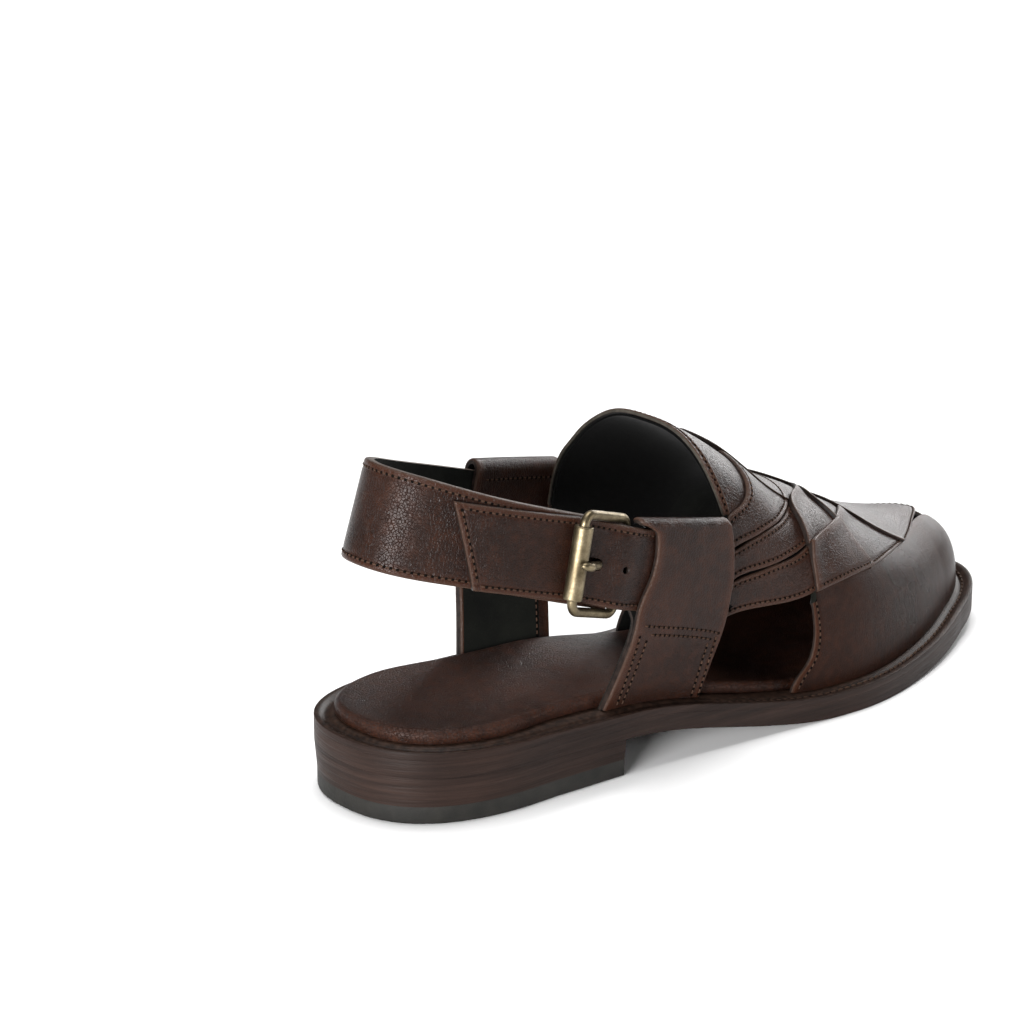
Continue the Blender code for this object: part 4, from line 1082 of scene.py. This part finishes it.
def build_tail_strap():
    """Tail strap from its slanted tip to the outer ear, with a slot for the prong and two
    more holes."""
    share = ends(60)
    start = TAIL_TIP_TOP + (TAIL_TIP_BOTTOM - TAIL_TIP_TOP) * (1 - share)
    t = ends(260)[:, None]
    places = start[None] * (1 - t) + TAIL_END * t
    flat = places.ravel()
    line = bend_line(flat, tail_offset(flat) + TAIL_THICKNESS, -1)
    w = np.broadcast_to(TAIL_WIDTH * (share - 0.5), places.shape).ravel() + tail_middle(flat)
    surface = strap_point(line[:, 0], line[:, 1], w).reshape(*places.shape, 3)
    rows = [(side, STITCH_INSET, STITCH_INSET, 0.0) for side in "az"]
    rows.append(("f", STITCH_INSET, 0.0030, 0.0030))
    made = leather_piece("tail_band", surface, HEEL_MIDDLE, 0.0, -TAIL_THICKNESS,
                         [strap_leather, lining, dark_cut], [(side, 0.0008) for side in "faz"], rows)
    for step in (0.0, 0.0014, 0.0028):
        punch(made, prong_hole() + step, PRONG_DIAMETER + 4 * GAP)
    for count in (1, 2):
        punch(made, prong_hole() + count * HOLE_PITCH, HOLE_DIAMETER)
    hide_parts("tail_strap")


def metal_piece(name, node_name, path, radius, **more):
    """Brass bar of the buckle."""
    made = tube(name, path, radius, brass, **more)
    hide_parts(node_name)


def build_buckle():
    """Wire frame with round corners, roller on its rear side, and the prong, which goes from
    the bar up through the hole and round the roller."""
    half = TAIL_WIDTH / 2 + BUCKLE_CLEARANCE + WIRE_DIAMETER / 2
    roller = at_place(ROLLER_AT, GAP + TAIL_THICKNESS + GAP + ROLLER_DIAMETER / 2)
    way = at_place(BAR_AT, -STRAP_THICKNESS / 2) - roller
    size = np.linalg.norm(way)
    corner = BUCKLE_CORNER
    path = []
    for place, up, start in ((corner, half - corner, 90), (corner, -half + corner, 180),
                             (size - corner, -half + corner, 270), (size - corner, half - corner, 0)):
        for turn in np.radians(np.linspace(start, start + 90, 12)):
            spot = roller + way / size * (place + corner * math.cos(turn))
            path.append(leaning(spot[0], spot[1], up + corner * math.sin(turn)))
    metal_piece("buckle_ring", "buckle_frame", path, WIRE_DIAMETER / 2, closed=True, sides_count=20)
    shares = np.array([-1, -0.995, -0.98, -0.95, 0.95, 0.98, 0.995, 1]) * (half - corner - GAP)
    radius = ROLLER_DIAMETER / 2 * np.array([0.88, 0.95, 0.99, 1, 1, 0.99, 0.95, 0.88])
    path = leaning(np.full(8, roller[0]), np.full(8, roller[1]), shares)
    metal_piece("buckle_tube", "buckle_roller", path, radius, sides_count=48)
    hole = prong_hole()
    rest = ROLLER_DIAMETER / 2 + GAP + PRONG_DIAMETER / 2
    knots = ((BAR_AT - 0.0022, -STRAP_THICKNESS / 2), (hole + 0.0040, -STRAP_THICKNESS / 2),
             (hole + 0.0024, 0.0), (hole + 0.0018, TAIL_THICKNESS), (hole, 0.0044))
    line = [at_place(place, offset) for place, offset in knots]
    for turn in np.radians((20, 50, 80, 105, 122)):
        line.append(roller + rest * np.array([math.cos(turn), -math.sin(turn)]))
    line = smooth_line(line, np.linspace(0, 1, 60))
    tip = np.sqrt(1 - np.linspace(0.1, 0.97, 6) ** 2)
    radius = PRONG_DIAMETER / 2 * np.concatenate([np.ones(54), tip])
    path = strap_point(line[:, 0] + 0.0017, line[:, 1], 0.0)
    metal_piece("buckle_pin", "buckle_prong", path, radius, sides_count=18)


# Ears
def ear_grid(size):
    """Outer face of an ear as one sheet: up the outer leaf, over the fold, down the inner
    leaf, for each share of its width. The leaves lie close below and gape round the strap."""
    rows = size["rows"]
    share = ends(EAR_COLUMNS)
    up = rows[:, 0]
    rear = curve_through(up, size["foot"] + size["width"] * rows[:, 1])
    front = curve_through(up, size["foot"] + size["width"] * rows[:, 2])
    out = curve_through(up, rows[:, 3])
    top = size["top"][0] + (size["top"][1] - size["top"][0]) * share
    foot_x = rear(0) + (front(0) - rear(0)) * share
    foot = welt_top(foot_x) + GAP
    edge = FEATHER[0 if size["side"] < 0 else 1]
    feather = np.abs(np.interp(foot_x, edge[:, 0], edge[:, 1]))
    fold = size["slot"] / 2 + EAR_LEAF
    leaf = np.linspace(0, 1, EAR_ROWS)[:, None]
    height = foot + (top - fold - foot) * leaf
    level = np.clip((height - foot) / (top - foot), 0, 1)

    def edge_x(level):
        back = rear(level) - EAR_FLARE * size["flare"] * ease((level - 0.90) / 0.09)
        return back + (front(level) - back) * share

    x = edge_x(level)
    tunnel_face = strap_half(strap_place(x, height)) + size["band"] + fold
    face = feather + (tunnel_face - feather) * out(level)
    gape = size["slot"] * ease((level - 0.46) / 0.07)
    back = face - 2 * EAR_LEAF - gape
    turn = np.linspace(0, math.pi, 20)[1:-1, None]
    arc_y = face[-1] - fold + fold * np.cos(turn) * (1 + 0 * share)
    arc_z = height[-1] + fold * np.sin(turn)
    arc_level = np.clip((arc_z - foot) / (top - foot), 0, 1)
    outer = np.stack([x, face, height], axis=-1)
    arc = np.stack([edge_x(arc_level), arc_y, arc_z], axis=-1)
    inner = np.stack([x, back, height], axis=-1)[::-1]
    grid = np.concatenate([outer, arc, inner])
    grid[..., 1] *= size["side"]
    return grid


def read_grid(grid, rows, columns):
    """Points of a grid at fractional rows and columns, between the four nearest."""
    rows, columns = np.asarray(rows, float), np.asarray(columns, float)
    i = np.clip(rows.astype(int), 0, grid.shape[0] - 2)
    j = np.clip(columns.astype(int), 0, grid.shape[1] - 2)
    u, v = (rows - i)[:, None], (columns - j)[:, None]
    return (grid[i, j] * (1 - u) * (1 - v) + grid[i + 1, j] * u * (1 - v)
            + grid[i, j + 1] * (1 - u) * v + grid[i + 1, j + 1] * u * v)


def ear_spot(grid, spot):
    """Fractional row and column of a spot given as height share, width share and leaf."""
    level, across, leaf = spot
    row = level * (EAR_ROWS - 1.0)
    if leaf:
        row = len(grid) - 1 - row
    return row, np.interp(across, ends(EAR_COLUMNS), np.arange(EAR_COLUMNS))


def build_ears():
    """Both ears, their suede inner leaf and their seams."""
    for name, size in EAR_SIZES.items():
        grid = ear_grid(size)
        normal = np.cross(np.gradient(grid, axis=0), np.gradient(grid, axis=1))
        normal /= np.linalg.norm(normal, axis=2, keepdims=True)
        if normal[40, 20, 1] * size["side"] < 0:
            normal = -normal
        gap = border_distance(grid, "az")
        middle = (grid[1:, 1:] + grid[:-1, :-1]) / 2
        across = ends(EAR_COLUMNS)[None, 1:]
        suede_top, low, high = size["suede"]
        suede_part = (np.arange(len(middle))[:, None] > EAR_SUEDE_START) & (middle[..., 2] < suede_top)
        kinds = (suede_part & (across > low) & (across < high)).astype(int)
        height = -rounded(gap, 0.0008)
        made, top = wall(name + "_fold", grid, normal, height, -EAR_LEAF, LEATHER, gap, kinds)
        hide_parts(name)
        for start, end in EAR_SEAMS[name]:
            (row_a, column_a), (row_b, column_b) = ear_spot(grid, start), ear_spot(grid, end)
            rows, columns = np.linspace(row_a, row_b, 80), np.linspace(column_a, column_b, 80)
            sew_line(read_grid(top, rows, columns), read_grid(normal, rows, columns))


# Upper
def toe_part():
    """Toe part: lines from the feather line up to the seam, slow at first where the last is
    steep. Each point is then kept as a place along X and a share of the way in to the ridge,
    so that the two rear edges can be drawn to the cut of the side openings on the last."""
    count, rows = 260, 84
    knots = [(a - 0.004, b + 0.010) for a, b in SEAM[:-1]] + [(0.920, 0.5)]
    half = smooth_line(knots, np.linspace(0, 1, count // 2))
    half[0] = TOE_EDGE[0]
    seam = np.concatenate([half, half[-2::-1] * (1, -1) + (0, 1)])
    spread = np.where(seam[:, 1] < 0.5, 0.085, 0.055)
    seam[:, 0] += 0.040 * np.exp(-((seam[:, 1] - 0.5) / spread) ** 2)
    start = TOE_EDGE[-1][0] * LENGTH - HEEL_SEAT
    outer = FEATHER[0][FEATHER[0][:, 0] >= start]
    inner = FEATHER[1][FEATHER[1][:, 0] >= start][::-1]
    shares = ends(len(seam)) * 0.35 + np.linspace(0, 1, len(seam)) * 0.65
    high = even_line(last_surface(seam[:, 0], seam[:, 1])[:, :2], shares)
    low = even_line(np.concatenate([outer, inner[1:]]), shares)
    go = (np.linspace(0, 1, rows) ** 2.3)[:, None, None]
    plan = low[None] * (1 - go) + high[None] * go
    x = np.minimum(plan[..., 0], TIP)
    side = np.where(plan[..., 1] < half_plan(x, -1)[0], -1, 1)
    ridge, reach = half_plan(x, side)
    rise = np.clip(1 - np.abs(plan[..., 1] - ridge) / np.maximum(reach, 1e-6), 0, 1)
    rise[0] = 0
    edge = smooth_line(TOE_EDGE, np.linspace(0, 1, 400))
    edge_rise = 1 - np.abs(np.cos(math.pi * edge[:, 1])) ** (2 / squareness(edge[:, 0]))
    order = np.argsort(edge_rise)
    for column, gone, further in ((0, shares, 0.0), (-1, 1 - shares, INNER_TOE_EDGE)):
        wanted = np.interp(rise[:, column], edge_rise[order], edge[order, 0] * LENGTH - HEEL_SEAT)
        wanted -= further
        x = x + (wanted - x[:, column])[:, None] * np.exp(-(gone / 0.09) ** 2)[None]
    return roof(np.minimum(x, TIP), rise, side)


def build_linings():
    """Throat with its tongue, rim band and lining; the band's edge is scored twice."""
    shares = ends(150)
    half = 1 - np.cos(np.linspace(0, math.pi / 2, 75))
    rear = smooth_line(THROAT, shares)
    front = smooth_line(over_ridge(smooth_line(TONGUE_FRONT, half)), shares)
    tongue = leather_piece("tongue", on_last(rear + (0.0006, 0), front, 30), INSIDE, 0.0, -0.0012,
                           LEATHER, (("f", 0.0006),))
    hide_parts("upper")
    rim = on_last(rear - (0.0004, 0), rear + (0.0102, 0), 30)
    leather_piece("rim_band", rim, INSIDE, 0.0004, -0.0010, [grain_side, lining, rim_cut],
                  (("f", 0.0005), ("l", 0.0004)), (("f", STITCH_INSET, 0.001, 0.001),),
                  lines=(("f", SCORE_INSET), ("f", 0.0017)))
    rear = smooth_line(THROAT_LINING_REAR, shares)
    front = smooth_line(over_ridge(smooth_line(THROAT_LINING_FRONT, half)), shares)
    # the throat's lining takes the darker suede, painted shade of the room inside the shoe
    leather_piece("throat_lining", on_last(rear + (0.002, 0), front, 40), INSIDE, -0.0014, -0.0022,
                  [shaded_lining] * 3, (("f", 0.0003),))


def build_side(tag, mirror):
    """Straps and cells of one side of the apron."""
    strap = dict(mirror=mirror, bevels=(("f", 0.0008), ("l", 0.0007)), steps=(30, 80),
                 rows=[(side, CELL_STITCH_INSET, 0.0, 0.003) for side in "fl"])
    strip("second_strap" + tag, SECOND_REAR, SECOND_FRONT, 0.0008, **strap)
    strip("third_strap" + tag, THIRD_REAR, THIRD_FRONT, 0.0006, **strap)
    strip("side_cell" + tag, SIDE_REAR, SIDE_FRONT, 0.0012, (60, 50), mirror=mirror,
          bevels=(("f", 0.0003), ("l", 0.0005), ("a", 0.0008), ("z", 0.0004)),
          lifts=(("z", 0.0014), ("f", -0.0002), ("l", -0.0002)),
          rows=(("a", CELL_STITCH_INSET, 0.002, 0.001),))
    strip("rear_cell" + tag, REAR_REAR, REAR_FRONT, 0.0014, (60, 50), mirror=mirror,
          bevels=(("f", 0.0008), ("l", 0.0004), ("a", 0.0008), ("z", 0.0006)),
          lifts=(("f", 0.0008), ("z", 0.0012), ("l", 0.0003)),
          rows=(("a", CELL_STITCH_INSET, 0.001, 0.002),))


def build_upper():
    """Every piece of the upper, from the throat to the toe; each lies on the next."""
    build_linings()
    strip("first_strap", FIRST_REAR, FIRST_FRONT, 0.0013, (38, 90), across=True,
          bevels=(("f", 0.0010), ("l", 0.0007)), rows=[(side, STITCH_INSET, 0.0, 0.0) for side in "fl"])
    build_side("_outer", False)
    build_side("_inner", True)
    strip("ridge_strap", RIDGE_REAR, RIDGE_FRONT, 0.0012, (44, 60), across=True, low=-0.0006,
          bevels=(("f", 0.0004), ("l", 0.0005)), lifts=(("f", 0.0007), ("l", -0.0002)))
    cell = dict(across=True, bevels=(("f", 0.0003), ("l", 0.0005)), lifts=(("f", 0.0014), ("l", -0.0002)))
    strip("arch_cell", ARCH_REAR, ARCH_FRONT, 0.0012, (44, 80), **cell)
    strip("centre_cell", CENTRE_REAR, CENTRE_FRONT, 0.0012, (44, 60), **cell)
    strip("front_cell", FRONT_REAR, FRONT_FRONT, 0.0012, (60, 90), across=True,
          bevels=(("f", 0.0003), ("l", 0.0008)), lifts=(("f", 0.0009),),
          rows=(("l", CELL_STITCH_INSET, 0.001, 0.001),))
    strip("apron_lining", APRON_LINING_REAR, APRON_LINING_FRONT, -0.0013, (50, 60), across=True,
          looks=[lining] * 3, bevels=(("f", 0.0002),), low=-0.0022)
    leather_piece("toe_part", toe_part(), INSIDE_TOE, 0.0, -0.0016, [toe_leather, lining, dark_cut],
                  (("l", 0.0006), ("a", 0.0007), ("z", 0.0007)),
                  [(side, TOE_STITCH_INSET, 0.0, 0.0) for side in "az"],
                  lines=[(side, SCORE_INSET) for side in "az"])


build_sole()
sewn_threads("welt_stitches", welt_thread, WELT_THREAD)
build_insole()
build_upper()
sewn_threads("upper_stitches", brown_thread)
build_heel_strap()
build_tail_strap()
sewn_threads("strap_stitches", brown_thread)
build_ears()
sewn_threads("ear_stitches", brown_thread)
build_buckle()


# Stage
def plain_floor():
    """Matt pale floor just below the sole."""
    half, low = 4, -0.0002
    mesh = bpy.data.meshes.new("floor")
    corners = [(-half, -half, low), (half, -half, low), (half, half, low), (-half, half, low)]
    mesh.from_pydata(corners, [], [(0, 1, 2, 3)])
    pale = bpy.data.materials.new("pale_floor")
    pale.use_nodes = True
    shader = pale.node_tree.nodes["Principled BSDF"]
    shader.inputs["Base Color"].default_value = (0.93, 0.93, 0.93, 1)
    shader.inputs["Roughness"].default_value = 0.9
    shader.inputs["Specular IOR Level"].default_value = 0.0
    mesh.materials.append(pale)
    placed("floor", mesh)


def aimed(thing, way):
    """Turn a light so that it shines that way."""
    thing.rotation_euler = Vector(way).to_track_quat("-Z", "Y").to_euler()


def studio_light():
    """White surroundings, a wide soft light from above and three soft panels round the shoe."""
    world = bpy.data.worlds.new("studio")
    bpy.context.scene.world = world
    world.use_nodes = True
    world.node_tree.nodes["Background"].inputs["Color"].default_value = (1, 1, 1, 1)
    world.node_tree.nodes["Background"].inputs["Strength"].default_value = 0.12
    sun = bpy.data.lights.new("high_light", "SUN")
    sun.energy = 2.9
    sun.angle = math.radians(40)
    aimed(placed("high_light", sun), (-0.10, -0.15, -1.0))
    middle = np.array([0.10, 0.0, 0.04])
    for name, place, size, power in (("rear_left_light", (-1.13, -0.50, 0.28), (0.55, 0.45), 29.0),
                                     ("back_light", (1.50, 0.44, 0.47), (1.1, 0.6), 19.0),
                                     ("front_light", (0.85, -1.05, 0.22), (0.5, 0.5), 4.0)):
        panel = bpy.data.lights.new(name, "AREA")
        panel.shape = "RECTANGLE"
        panel.size, panel.size_y = size
        panel.energy = power
        light = placed(name, panel)
        light.location = place
        aimed(light, middle - np.array(place))


def photo_camera():
    """Camera fitted to the photograph: from behind the outer side, a little above."""
    camera = bpy.data.cameras.new("camera")
    camera.lens = 117.04
    camera.sensor_width = 36
    camera.clip_start = 0.05
    camera.clip_end = 20
    seen = placed("camera", camera)
    seen.location = (-0.6322, -0.7729, 0.4269)
    seen.rotation_euler = (math.radians(71.39), 0, math.radians(-40.65))
    bpy.context.scene.camera = seen
    bpy.context.scene.view_settings.view_transform = "Standard"


plain_floor()
studio_light()
photo_camera()
